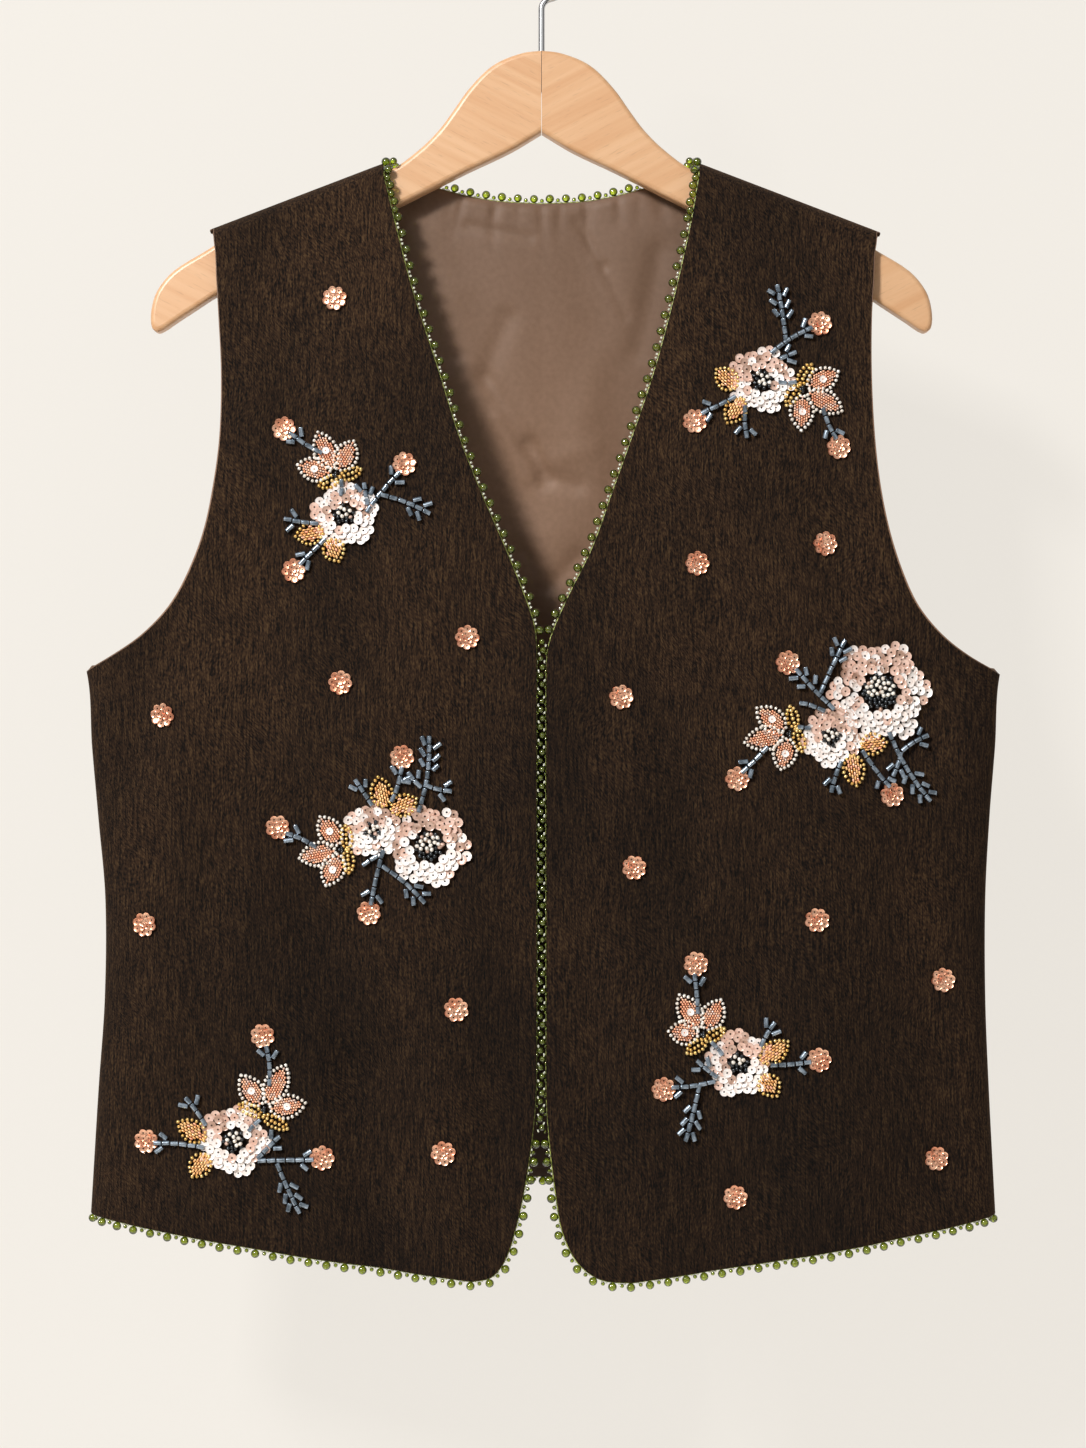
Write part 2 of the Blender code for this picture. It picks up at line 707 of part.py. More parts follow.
def tube_mesh(rings, sides):
    """A closed tube through (centre, way, normal, radius) rings."""
    bm = bmesh.new()
    loops = []
    for centre, way, normal, radius in rings:
        loop = []
        for side in range(sides):
            angle = 2 * math.pi * side / sides
            spoke = way * math.cos(angle) + normal * math.sin(angle)
            loop.append(bm.verts.new(centre + radius * spoke))
        loops.append(loop)
    for a, b in zip(loops, loops[1:]):
        for side in range(sides):
            after = (side + 1) % sides
            bm.faces.new((a[side], a[after], b[after], b[side]))
    bm.faces.new(loops[0])
    bm.faces.new(loops[-1])
    return bm


def bead_strand(rail, radius=BEAD_RADIUS, pitch=BEAD_PITCH, off_edge=True):
    """Large beads threaded at an even pitch, joined by the thinner picot between them."""
    radius *= MM
    picot = PICOT_RADIUS * MM
    whole = rail_length(rail)
    count = round(whole / (pitch * MM))
    step = whole / count
    rings = []
    for bead in range(count):
        middle = (bead + 0.5) * step
        offsets = ((-radius, picot), (0.0, radius), (radius, picot))
        if pitch < BEAD_PITCH:
            offsets = ((0.0, radius), (step / 2, picot)) if bead < count - 1 else ((0.0, radius),)
        for offset, ring_radius in offsets:
            point, away, normal = walk_rail(rail, middle + offset)
            if off_edge:
                point = point + away * (radius + SEAM_GAP)
            rings.append((point, away, normal, ring_radius))
    return tube_mesh(rings, STRAND_SIDES)


def cut_rail(rail, top_drop, foot_drop):
    """The stretch of a rail between two drops, with its ends exactly there."""
    kept = []
    for a, b in zip(rail, rail[1:]):
        for drop in (top_drop, foot_drop):
            span = b[0].z - a[0].z
            t = (-drop * MM - a[0].z) / span if span else -1
            if 0 <= t < 1 and drop == top_drop:
                kept = [tuple(p.lerp(q, t) for p, q in zip(a, b))]
            elif 0 <= t < 1 and kept:
                kept.append(tuple(p.lerp(q, t) for p, q in zip(a, b)))
                return kept
        if kept:
            kept.append(b)
    return kept


def front_rails(grid):
    """The rails of a front's edge (neck, front edge, corner) and of its hem."""
    edge = edge_rail([row[0] for row in grid], [row[1] for row in grid])
    hem = edge_rail(grid[-1], grid[-2])
    return edge, hem


def add_edging(grids, back, collection, beads):
    rails = {}
    for name, grid in grids.items():
        edge, hem = front_rails(grid)
        rails[name] = edge
        neck = cut_rail(edge, edge[0][0].z / -MM, NECK_BEADS_END)
        add_object(f"neck_beads_{name}", bead_strand(neck), collection, beads)
        lower = cut_rail(edge, HEM_BEADS_START, PAST_HEM) + hem[1:]
        add_object(f"hem_beads_{name}", bead_strand(lower), collection, beads)
    centre = []
    for station in range(CENTRE_STATIONS + 1):
        share = station / CENTRE_STATIONS
        drop = CENTRE_BEADS_START + share * (CENTRE_BEADS_END - CENTRE_BEADS_START)
        ends = [cut_rail(rail, drop, PAST_HEM)[0][0] for rail in rails.values()]
        centre.append(((ends[0] + ends[1]) / 2, Vector((1, 0, 0)), Vector((0, -1, 0))))
    strand = bead_strand(centre, CENTRE_BEAD_RADIUS, BEAD_PITCH / 2, off_edge=False)
    add_object("centre_front_beads", strand, collection, beads)
    neck = edge_rail(back[0], back[1])
    neck = [place for place in neck if abs(place[0].x) <= (NECK_POINT_OUT + 0.2) * MM]
    add_object("neck_beads_back", bead_strand(neck), collection, beads)
    hem = edge_rail(back[-1], back[-2])
    add_object("hem_beads_back", bead_strand(hem), collection, beads)


# ---------------------------------------------------------------- raised embroidery


def disc_outline(piece, points, ruffle):
    outline = []
    for point in range(points):
        angle = 2 * math.pi * (point + 0.5) / points
        radius = piece.size * (1 - ruffle * (point % 2))
        outline.append((piece.x + radius * math.cos(angle), piece.drop + radius * math.sin(angle)))
    return outline


def strip_outline(piece, width, shares):
    """An outline about the piece's line: (share of its length, share of its half width)."""
    line = Vector((piece.to_x - piece.x, piece.to_drop - piece.drop))
    across = Vector((-line.y, line.x)).normalized() * width / 2
    start = Vector((piece.x, piece.drop))
    one_side = [start + line * length + across * part for length, part in shares]
    other = [start + line * length - across * part for length, part in reversed(shares) if part]
    return [tuple(point) for point in one_side + other]


def twig_parts(piece):
    """A twig's stem and, on a branching one, its side stubs, each with no stubs of its own."""
    stem = Vector((piece.to_x - piece.x, piece.to_drop - piece.drop))
    parts = [piece._replace(size=0)]
    if piece.size < 2:
        return parts
    for stub in range(STUBS_SHOWN):
        at = Vector((piece.x, piece.drop)) + stem * (0.5 + 0.25 * stub)
        turn = math.radians(STUB_ANGLE if stub % 2 else -STUB_ANGLE)
        end = at + Matrix.Rotation(turn, 2) @ stem.normalized() * STUB_LENGTH
        parts.append(piece._replace(x=at.x, drop=at.y, to_x=end.x, to_drop=end.y, size=0))
    return parts


def work_parts(pieces):
    """Every part of a piece of work with its outline, and loose points along its crowns."""
    parts = []
    for piece in pieces:
        if piece.kind == "twig":
            for part in twig_parts(piece):
                outline = strip_outline(part, TWIG_WIDTH, BAR_OUTLINE)
                parts.append((part, TWIG_WIDTH / 2, outline[::-1], []))
        elif piece.kind in ("leaf", "petal"):
            outline = strip_outline(piece, piece.size, LEAF_OUTLINE)
            middle = ((piece.x + piece.to_x) / 2, (piece.drop + piece.to_drop) / 2)
            parts.append((piece, piece.size / 2, outline[::-1], [middle]))
        elif piece.kind == "calyx":
            outline = strip_outline(piece, piece.size, BAR_OUTLINE)
            parts.append((piece, piece.size / 2, outline[::-1], []))
        elif piece.kind == "flower":
            outline = disc_outline(piece, FLOWER_POINTS, FLOWER_RUFFLE)
            crowns = disc_outline(piece._replace(size=piece.size * CROWN_RING), CROWN_POINTS, 0.0)
            crowns.append((piece.x, piece.drop))
            parts.append((piece, piece.size, outline, crowns))
        else:
            outline = disc_outline(piece, FLORET_POINTS, 0.0)
            parts.append((piece, piece.size, outline, [(piece.x, piece.drop)]))
    return parts


def height_over(piece, reach, point):
    """How high this piece stands at the point, or 0 where it doesn't reach."""
    start = Vector((piece.x, piece.drop))
    line = Vector((piece.to_x - piece.x, piece.to_drop - piece.drop))
    if piece.kind in ("flower", "floret"):
        off = (point - start).length
    else:
        t = min(max((point - start).dot(line) / line.length_squared, 0), 1)
        off = (point - start - t * line).length
    share = off / reach
    if share > 1.02:
        return 0.0
    height = RIM_HEIGHT + (CROWN_HEIGHT[piece.kind] - RIM_HEIGHT) * max(0.0, 1 - share**2)
    if piece.kind == "flower" and share < FLOWER_EYE:
        height -= EYE_HOLLOW
    return height


def raised_work(pieces, x, drop, cloth):
    """One closed low relief over the union of the pieces' outlines, laid on the cloth."""
    parts = work_parts(pieces)
    points = []
    outlines = []
    for _, _, outline, crowns in parts:
        outlines.append(list(range(len(points), len(points) + len(outline))))
        points += outline
        points += crowns
    inside_triangles = 1
    flat_points = [Vector(point) for point in points]
    flat, _, faces, *_ = delaunay_2d_cdt(flat_points, [], outlines, inside_triangles, 1e-4)
    bm = bmesh.new()
    used = sorted({index for face in faces for index in face})
    top = {}
    foot = {}
    for index in used:
        point = flat[index]
        at = Vector(((x + point.x) * MM, -1.0, -(drop + point.y) * MM))
        hit = cloth.ray_cast(at, Vector((0, 1, 0)))[0]
        height = max(height_over(piece, reach, point) for piece, reach, _, _ in parts)
        height = max(height, RIM_HEIGHT)
        foot[index] = bm.verts.new(hit - Vector((0, WORK_CLEARANCE, 0)))
        top[index] = bm.verts.new(hit - Vector((0, WORK_CLEARANCE + height * MM, 0)))
    rims = {}
    for face in faces:
        bm.faces.new([top[index] for index in face])
        bm.faces.new([foot[index] for index in reversed(face)])
        for a, b in zip(face, face[1:] + face[:1]):
            rims[(a, b)] = rims.get((a, b), 0) + 1
    for a, b in rims:
        if (b, a) not in rims:
            bm.faces.new((top[b], top[a], foot[a], foot[b]))
    return bm


def add_embroidery(fronts, collection, work, copper):
    cloths = {name: BVHTree.FromObject(obj, bpy.context.evaluated_depsgraph_get())
              for name, obj in fronts.items()}
    for name, spray in SPRAYS.items():
        bm = raised_work(spray.pieces, spray.x, spray.drop, cloths[spray.side])
        add_object(f"spray_{name}", bm, collection, work)
    for side, florets in LONE_FLORETS.items():
        for number, lone in enumerate(florets, 1):
            floret = (Piece("floret", 0, 0, 0, 0, FLORET_RADIUS),)
            bm = raised_work(floret, lone.x, lone.drop, cloths[side])
            add_object(f"floret_{side}_{number}", bm, collection, copper)


# ---------------------------------------------------------------- hanger


def board_outline():
    """One arm's outline, from the mitre along the top, round the tip and back below."""
    top = [(point.out, point.drop) for point in BOARD_TOP]
    under = [(point.out, point.drop) for point in BOARD_UNDER]
    top[0] = (MITRE_GAP / 2, top[0][1])
    under[-1] = (MITRE_GAP / 2, under[-1][1])
    return top + under


def add_arm(side, name, collection, cutter, beech):
    outline = board_outline()
    half = BOARD_THICKNESS / 2
    bm = bmesh.new()
    faces = []
    for y in (-half, half):
        verts = [bm.verts.new(Vector((side * out, y, -drop)) * MM) for out, drop in outline]
        faces.append(bm.faces.new(verts))
    rounded = bm.edges.layers.float.new("bevel_weight_edge")
    bm.verts.ensure_lookup_table()
    count = len(outline)
    for i in range(count):
        j = (i + 1) % count
        bm.faces.new((bm.verts[i], bm.verts[j], bm.verts[count + j], bm.verts[count + i]))
    for face in faces:
        for edge in face.edges:
            at_mitre = all(abs(vert.co.x) < MITRE_GAP * MM for vert in edge.verts)
            edge[rounded] = 0.0 if at_mitre else 1.0
    arm = add_object(name, bm, collection, beech)
    bevel = arm.modifiers.new("rounded edges", "BEVEL")
    bevel.limit_method = "WEIGHT"
    bevel.width = BOARD_ROUNDING * MM
    bevel.segments = 2
    bore = arm.modifiers.new("hook bore", "BOOLEAN")
    bore.object = cutter
    bore.operation = "DIFFERENCE"
    return arm


def add_bore_cutter(cutters):
    foot = HOOK_FOOT_DROP + HOOK_BORE_CLEARANCE
    bpy.ops.mesh.primitive_cylinder_add(
        vertices=16,
        radius=(HOOK_WIRE_RADIUS + HOOK_BORE_CLEARANCE) * MM,
        depth=(foot - HOOK_BORE_TOP) * MM,
        location=(0, 0, -(foot + HOOK_BORE_TOP) / 2 * MM),
    )
    cutter = bpy.context.object
    cutter.name = "hook_bore"
    for collection in list(cutter.users_collection):
        collection.objects.unlink(cutter)
    cutters.objects.link(cutter)
    cutter.hide_render = True
    cutter.display_type = "WIRE"
    return cutter


def hook_route():
    """The wire's centre line: up the shank, round a small bend and over the large one."""
    wire = HOOK_INNER_RADIUS + HOOK_WIRE_RADIUS
    centre_drop = HOOK_INNER_RADIUS
    reach = wire + HOOK_NECK_RADIUS
    bend_drop = centre_drop + math.sqrt(reach**2 - HOOK_NECK_RADIUS**2)
    meet = math.atan2(bend_drop - centre_drop, -HOOK_NECK_RADIUS)
    route = [(0.0, HOOK_FOOT_DROP), (0.0, bend_drop)]
    for step in range(1, HOOK_NECK_STEPS + 1):
        angle = math.pi + (meet - math.pi) * step / HOOK_NECK_STEPS
        x = HOOK_NECK_RADIUS + HOOK_NECK_RADIUS * math.cos(angle)
        route.append((x, bend_drop - HOOK_NECK_RADIUS * math.sin(angle)))
    start = meet - math.pi
    end = math.radians(HOOK_END_ANGLE)
    for step in range(1, HOOK_STEPS + 1):
        angle = start + (end - start) * step / HOOK_STEPS
        route.append((wire * math.cos(angle), centre_drop - wire * math.sin(angle)))
    return [Vector((x, 0, -drop)) * MM for x, drop in route]


def add_hook(collection, chrome):
    curve = bpy.data.curves.new("hanger_hook", "CURVE")
    curve.dimensions = "3D"
    curve.bevel_depth = HOOK_WIRE_RADIUS * MM
    curve.bevel_resolution = 2
    curve.use_fill_caps = True
    route = hook_route()
    spline = curve.splines.new("POLY")
    spline.points.add(len(route) - 1)
    for point, place in zip(spline.points, route):
        point.co = (*place, 1)
    curve.materials.append(chrome)
    hook = bpy.data.objects.new("hanger_hook", curve)
    collection.objects.link(hook)


# ---------------------------------------------------------------- the whole part


def main():
    clear_scene()
    parts = new_collection("embroidered_waistcoat")
    cutters = new_collection("cutters")
    brown = make_material("brown_chenille", (0.028, 0.016, 0.010), 0.9)
    satin = make_material("taupe_satin", (0.19, 0.13, 0.095), 0.5)
    glass = make_material("green_glass", (0.12, 0.20, 0.02), 0.15)
    work = make_material("sequin_work", (0.72, 0.52, 0.44), 0.35)
    copper = make_material("copper_sequins", (0.70, 0.30, 0.20), 0.3, 0.6)
    beech = make_material("beech", (0.78, 0.52, 0.30), 0.5)
    chrome = make_material("chrome_wire", (0.6, 0.6, 0.62), 0.15, 1.0)

    grids = {"right": front_grid(-1, "right"), "left": front_grid(1, "left")}
    fronts = {}
    for name, grid in grids.items():
        fronts[name] = add_object(f"front_{name}", wall_mesh(grid), parts, brown)
    back = back_grid(WALL, 0.0)
    add_object("back", wall_mesh(back), parts, brown)
    lining = back_grid(LINING_WALL, WALL + SEAM_GAP)
    lining = lining[len(BACK_ARCH) - 1:-1]
    lining = [row[LINING_SIDE_COLUMNS:-LINING_SIDE_COLUMNS] for row in lining]
    add_object("back_lining", wall_mesh(lining), parts, satin)

    add_edging(grids, back, parts, glass)
    bpy.context.view_layer.update()
    add_embroidery(fronts, parts, work, copper)

    cutter = add_bore_cutter(cutters)
    add_arm(-1, "hanger_arm_right", parts, cutter, beech)
    add_arm(1, "hanger_arm_left", parts, cutter, beech)
    add_hook(parts, chrome)


main()
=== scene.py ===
# %% [markdown]
# # An embroidered waistcoat on a beech hanger
#
# This lesson dresses a plain solid model as a finished garment. The waistcoat is dark
# brown chenille with a taupe satin lining, green glass beads along its edges, and
# sprays of sequins, seed beads and bugle beads sewn on both fronts. It hangs on a
# wooden coat hanger.
#
# The solid model comes first, loaded as a fixed frame. Each piece made here either
# covers one of its solids or gives it a better finish, so nothing changes size.

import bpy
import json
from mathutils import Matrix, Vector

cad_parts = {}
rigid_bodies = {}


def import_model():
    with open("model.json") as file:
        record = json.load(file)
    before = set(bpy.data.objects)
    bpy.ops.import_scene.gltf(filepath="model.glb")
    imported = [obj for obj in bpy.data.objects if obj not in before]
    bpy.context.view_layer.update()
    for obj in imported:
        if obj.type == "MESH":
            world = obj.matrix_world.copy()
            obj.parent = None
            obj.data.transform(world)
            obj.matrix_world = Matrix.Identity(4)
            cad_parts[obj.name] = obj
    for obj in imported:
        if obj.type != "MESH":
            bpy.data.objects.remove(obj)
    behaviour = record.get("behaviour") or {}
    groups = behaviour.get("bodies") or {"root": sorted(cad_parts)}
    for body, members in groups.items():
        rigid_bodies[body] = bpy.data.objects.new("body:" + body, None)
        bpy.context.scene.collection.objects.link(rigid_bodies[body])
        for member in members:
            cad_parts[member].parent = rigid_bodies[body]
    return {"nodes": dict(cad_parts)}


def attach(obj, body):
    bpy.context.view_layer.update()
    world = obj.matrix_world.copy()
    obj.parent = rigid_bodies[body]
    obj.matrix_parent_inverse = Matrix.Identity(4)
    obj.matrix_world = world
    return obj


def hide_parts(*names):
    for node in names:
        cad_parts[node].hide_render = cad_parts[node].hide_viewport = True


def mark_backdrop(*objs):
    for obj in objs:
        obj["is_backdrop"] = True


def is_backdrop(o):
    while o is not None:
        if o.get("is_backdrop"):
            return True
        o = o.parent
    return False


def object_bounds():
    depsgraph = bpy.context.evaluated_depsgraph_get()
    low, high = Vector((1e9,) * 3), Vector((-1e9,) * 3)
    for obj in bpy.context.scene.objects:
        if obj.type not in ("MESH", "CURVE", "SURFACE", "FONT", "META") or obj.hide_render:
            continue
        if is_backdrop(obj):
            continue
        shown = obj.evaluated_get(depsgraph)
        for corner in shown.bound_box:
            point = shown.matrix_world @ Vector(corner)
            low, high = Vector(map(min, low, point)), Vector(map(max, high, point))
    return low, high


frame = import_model()
solid_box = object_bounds()
print("solids:", len(frame["nodes"]), "box:", solid_box)

# %% The modules this lesson uses
import json
import math
import random
from collections import namedtuple

import bpy
import numpy as np
from mathutils import Vector
from mathutils.bvhtree import BVHTree

MM = 0.001
chance = random.Random(11)

# %% [markdown]
# ## The camera
#
# A garment is usually photographed straight on, from far enough away that the
# shoulders and the hem are seen at nearly the same scale. A 75 mm lens at 1.7 m does
# that. The camera is made first, because every later choice of detail depends on how
# large a millimetre is in the picture: here about 1.8 pixels.

# %% Camera
camera_data = bpy.data.cameras.new("camera")
camera_data.lens = 75.2
camera_data.sensor_width = 36.0
camera = bpy.data.objects.new("camera", camera_data)
camera.location = (0.00084, -1.70, -0.4468)
camera.rotation_euler = (math.radians(90), 0, 0)
bpy.context.scene.collection.objects.link(camera)
bpy.context.scene.camera = camera
print("camera at", tuple(round(v, 3) for v in camera.location))

# %% [markdown]
# ## The room
#
# The room is plain: a pale disc for a floor, a pale wall close behind, and soft lamps. A
# large key lamp stands high on the left, so the raised work casts soft shadows down to
# the right, and a wider, weaker lamp fills from the other side. The camera sees an even
# pale world past the wall, but the world lights the object unevenly, bright on the key's
# side and dim on the other, because glass and metal look like nothing in an even room.
#
# A photographer lights such a wall by itself, so that shadows on it stay faint; here the
# paper glows a little instead. It shows from the front only, so the back can be looked at
# too, and light bent by glass passes it. Such light sees a bright patch straight behind
# with a dim room round it, so every bead has a light middle and a dark rim. One more lamp
# is seen by reflections alone: a white card that puts a highlight on every bead and
# sequin. The colours are written as sRGB hex values, as on a paint card, and one function
# turns them to the linear values that a renderer adds up.


# %% Colours
def linear(code):
    """Linear red, green and blue of an sRGB hex colour such as "8b6d5a"."""
    parts = [int(code[i : i + 2], 16) / 255 for i in (0, 2, 4)]
    return [p / 12.92 if p <= 0.04045 else ((p + 0.055) / 1.055) ** 2.4 for p in parts]


def rgba(code):
    return (*linear(code), 1.0)


# %% A function that adds a node, and a few that use it
def feed(tree, node, inputs):
    """Gives each of these inputs a value, or links another node's output to it."""
    for name, value in inputs.items():
        if isinstance(value, bpy.types.NodeSocket):
            tree.links.new(value, node.inputs[name])
        else:
            node.inputs[name].default_value = value


def put(tree, kind, inputs=None, **settings):
    """Adds a node with these inputs and settings."""
    made = tree.nodes.new(kind)
    for name, value in settings.items():
        setattr(made, name, value)
    feed(tree, made, inputs or {})
    return made


def new_material(name):
    """An empty material: its tree, its Principled shader and its object coordinates."""
    material = bpy.data.materials.new(name)
    material.use_nodes = True
    tree = material.node_tree
    shader = tree.nodes["Principled BSDF"]
    place = put(tree, "ShaderNodeTexCoord").outputs["Object"]
    return material, tree, shader, place


def per_mm(size):
    """The texture scale at which one patch is this many millimetres wide."""
    return 1 / (size * MM)


def mottle(tree, place, size, detail=2.0):
    """Soft noise in patches of this size, in millimetres."""
    inputs = {"Vector": place, "Scale": per_mm(size), "Detail": detail}
    return put(tree, "ShaderNodeTexNoise", inputs).outputs["Fac"]


def ranged(tree, value, source, target, interpolation="LINEAR"):
    """A value carried from one range to another and held inside it."""
    inputs = {"Value": value, "From Min": source[0], "From Max": source[1]}
    inputs |= {"To Min": target[0], "To Max": target[1]}
    made = put(tree, "ShaderNodeMapRange", inputs, interpolation_type=interpolation)
    return made.outputs["Result"]


def calculate(tree, operation, *values):
    """The result of one operation on these values, such as "MULTIPLY"."""
    inputs = dict(enumerate(values))
    return put(tree, "ShaderNodeMath", inputs, operation=operation).outputs[0]


def calculate_vector(tree, operation, *vectors, output="Vector"):
    """The same with colours or places."""
    inputs = dict(enumerate(vectors))
    return put(tree, "ShaderNodeVectorMath", inputs, operation=operation).outputs[output]


def blend(tree, value, *stops):
    """Colours that run into each other along a value, from (position, colour) pairs."""
    made = put(tree, "ShaderNodeValToRGB", {"Fac": value})
    elements = made.color_ramp.elements
    for number, (position, colour) in enumerate(stops):
        stop = elements[number] if number < 2 else elements.new(position)
        stop.position = position
        stop.color = colour
    return made.outputs["Color"]


def emboss(tree, shader, height, strength, most):
    """Raises the surface by a pattern, by this many millimetres at the most."""
    inputs = {"Height": height, "Strength": strength, "Distance": most * MM}
    feed(tree, shader, {"Normal": put(tree, "ShaderNodeBump", inputs).outputs["Normal"]})


# %% World
scene = bpy.context.scene
scene.view_settings.view_transform = "Standard"
world = bpy.data.worlds.new("studio")
scene.world = world
world.use_nodes = True
tree = world.node_tree
KEY_SIDE = (-0.45, -0.62, 0.64)
STRAIGHT_BACK = (0, 1, 0)
ROOM_LIGHT = (0.08, 0.36)
PATCH_LIGHT = (0.0, 0.8)
toward = put(tree, "ShaderNodeTexCoord").outputs["Generated"]


def facing(way):
    """How nearly a part of the world lies this way: 1 where it is straight ahead."""
    return calculate_vector(tree, "DOT_PRODUCT", toward, way, output="Value")


room = ranged(tree, facing(KEY_SIDE), (-0.5, 0.9), ROOM_LIGHT)
patch = ranged(tree, facing(STRAIGHT_BACK), (0.7, 0.92), PATCH_LIGHT, "SMOOTHSTEP")
lit = calculate(tree, "ADD", room, patch)
seen = put(tree, "ShaderNodeLightPath").outputs["Is Camera Ray"]
strength = put(tree, "ShaderNodeMix", {"Factor": seen, 2: lit, 3: 1.0}).outputs["Result"]
feed(tree, tree.nodes["Background"], {"Color": rgba("f3ede5"), "Strength": strength})


# %% Floor and wall
FLOOR_RADIUS = 1.2
FLOOR_DROP = 1.15
WALL_BEHIND = 0.16
WALL_WIDTH = 5.0
WALL_GLOW = 0.88
PAPER_WHITE = "f1ece4"


def paper(name, glow=0.0):
    """Matt white paper. A glowing one is seen from its front only."""
    material, tree, shader, place = new_material(name)
    grain = put(tree, "ShaderNodeTexNoise", {"Vector": place, "Scale": 600.0})
    unlit = [value * (1 - glow) for value in linear(PAPER_WHITE)]
    bump = put(tree, "ShaderNodeBump", {"Height": grain.outputs["Fac"], "Strength": 0.05})
    feed(tree, shader, {
        "Base Color": (*unlit, 1),
        "Roughness": 0.9,
        "Specular IOR Level": 0.1,
        "Normal": bump.outputs["Normal"],
    })
    if glow:
        glowing = {"Emission Color": rgba(PAPER_WHITE), "Emission Strength": glow}
        feed(tree, shader, glowing)
        behind = put(tree, "ShaderNodeNewGeometry").outputs["Backfacing"]
        clear = put(tree, "ShaderNodeBsdfTransparent").outputs["BSDF"]
        shader_inputs = {0: behind, 1: shader.outputs["BSDF"], 2: clear}
        shown = put(tree, "ShaderNodeMixShader", shader_inputs).outputs["Shader"]
        feed(tree, tree.nodes["Material Output"], {"Surface": shown})
    return material


bpy.ops.mesh.primitive_circle_add(
    vertices=96, radius=FLOOR_RADIUS, fill_type="NGON", location=(0, 0, -FLOOR_DROP)
)
floor = bpy.context.object
floor.name = "studio_floor"
floor.data.materials.append(paper("matt_floor_paper"))
bpy.ops.mesh.primitive_plane_add(
    size=WALL_WIDTH,
    location=(0, WALL_BEHIND, -FLOOR_DROP + WALL_WIDTH / 2),
    rotation=(math.radians(90), 0, 0),
)
wall = bpy.context.object
wall.name = "studio_wall"
wall.data.materials.append(paper("glowing_wall_paper", glow=WALL_GLOW))
wall.visible_shadow = False
wall.visible_transmission = False
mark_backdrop(floor, wall)

# %% Lamps
AIMED_AT = (0, 0, -0.42)
Lamp = namedtuple("Lamp", "name place width power shines_on_matt")
LAMPS = (
    Lamp("key", (-1.3, -2.0, 1.0), 0.45, 80, True),
    Lamp("card", (-1.1, -2.1, 1.1), 1.6, 30, False),
    Lamp("fill", (1.7, -2.2, -0.1), 1.8, 6, True),
    Lamp("back", (0.5, 2.4, 0.7), 1.6, 16, True),
)
for lamp in LAMPS:
    data = bpy.data.lights.new(lamp.name, "AREA")
    data.size = lamp.width
    data.energy = lamp.power
    light = bpy.data.objects.new(lamp.name, data)
    light.location = lamp.place
    aim = Vector(AIMED_AT) - light.location
    light.rotation_euler = aim.to_track_quat("-Z", "Y").to_euler()
    light.visible_camera = False
    light.visible_diffuse = lamp.shines_on_matt
    scene.collection.objects.link(light)
print("lamps:", [lamp.name for lamp in LAMPS])

# %% [markdown]
# ## The shape of the cloth
#
# The garment is drawn as a tailor measures it. "Out" is the distance from the centre
# line, "drop" the distance below the hook, and "along" the distance down the cloth from
# the shoulder ridge, all in millimetres. One function turns out and along into a point
# in space: round the shoulder arch first, then down a body whose level sections close
# at the side seams. The solids were made by the same rule, so the finer cloth made here
# lies on them, and short tables hold the sizes.

# %% Sizes of the body
NECK_POINT_OUT = 89.0
NECK_POINT_DROP = 132.0
SHOULDER_SLOPE = 0.382
ARCH_DEPTH = 12.0
ARCH_RISE = 9.0
ARCH_LENGTH = 16.6
SEAM_ALONG = 6.3
SQUARENESS = 2.8
FRONT = -1
BACK = 1

# Drop, then how far out the right and the left side seams are
SIDE_SECTIONS = (
    (120, 335, 335),
    (300, 288, 290),
    (417, 255.6, 257.9),
    (460, 252.4, 254.7),
    (500, 248.8, 251.5),
    (545, 244.9, 249.2),
    (600, 245.2, 249.2),
    (650, 248.6, 251.1),
    (722, 253.0, 254.8),
)
# Fall below the ridge, then how far the front and the back stand from the middle
DEPTHS = (
    (9, 12.0, 12.0),
    (50, 15.0, 13.8),
    (100, 18.6, 16.8),
    (150, 22.2, 20.4),
    (200, 25.6, 23.8),
    (250, 28.0, 26.4),
    (300, 29.6, 28.2),
    (400, 31.0, 30.2),
    (550, 32.8, 32.0),
    (660, 33.2, 33.0),
)


# %% A smooth curve through a table
def smooth(table, at):
    """The table's other columns at these values of its first, on a smooth curve."""
    table = np.asarray(table, float)
    keys, rows = table[:, 0], table[:, 1:]
    at = np.clip(at, keys[0], keys[-1])
    i = np.clip(np.searchsorted(keys, at) - 1, 0, len(keys) - 2)
    before = np.maximum(np.arange(len(keys)) - 1, 0)
    after = np.minimum(np.arange(len(keys)) + 1, len(keys) - 1)
    slopes = (rows[after] - rows[before]) / (keys[after] - keys[before])[:, None]
    span = (keys[i + 1] - keys[i])[..., None]
    t = (at - keys[i])[..., None] / span
    rise = (rows[i + 1] - rows[i]) * t * t * (3 - 2 * t)
    leaving = slopes[i] * span * t * (1 - t) ** 2
    arriving = slopes[i + 1] * span * t * t * (t - 1)
    return rows[i] + rise + leaving + arriving


def lengths_along(points):
    """How far along a row of points each one is."""
    steps = np.linalg.norm(np.diff(points, axis=0), axis=1)
    return np.concatenate([[0], np.cumsum(steps)])


def through(points, at):
    """A smooth curve through a row of points, read at fractional point numbers."""
    points = np.asarray(points, float)
    lengths = lengths_along(points)
    key = np.interp(at, np.arange(len(points)), lengths)
    return smooth(np.column_stack([lengths, points]), key)


def side_out(side, drop):
    return smooth(SIDE_SECTIONS, drop)[..., 1 if side > 0 else 0]


def ridge_drop(out):
    return NECK_POINT_DROP + SHOULDER_SLOPE * (np.asarray(out) - NECK_POINT_OUT)


def along_at(out, drop):
    return ARCH_LENGTH + drop - ridge_drop(out) - ARCH_RISE


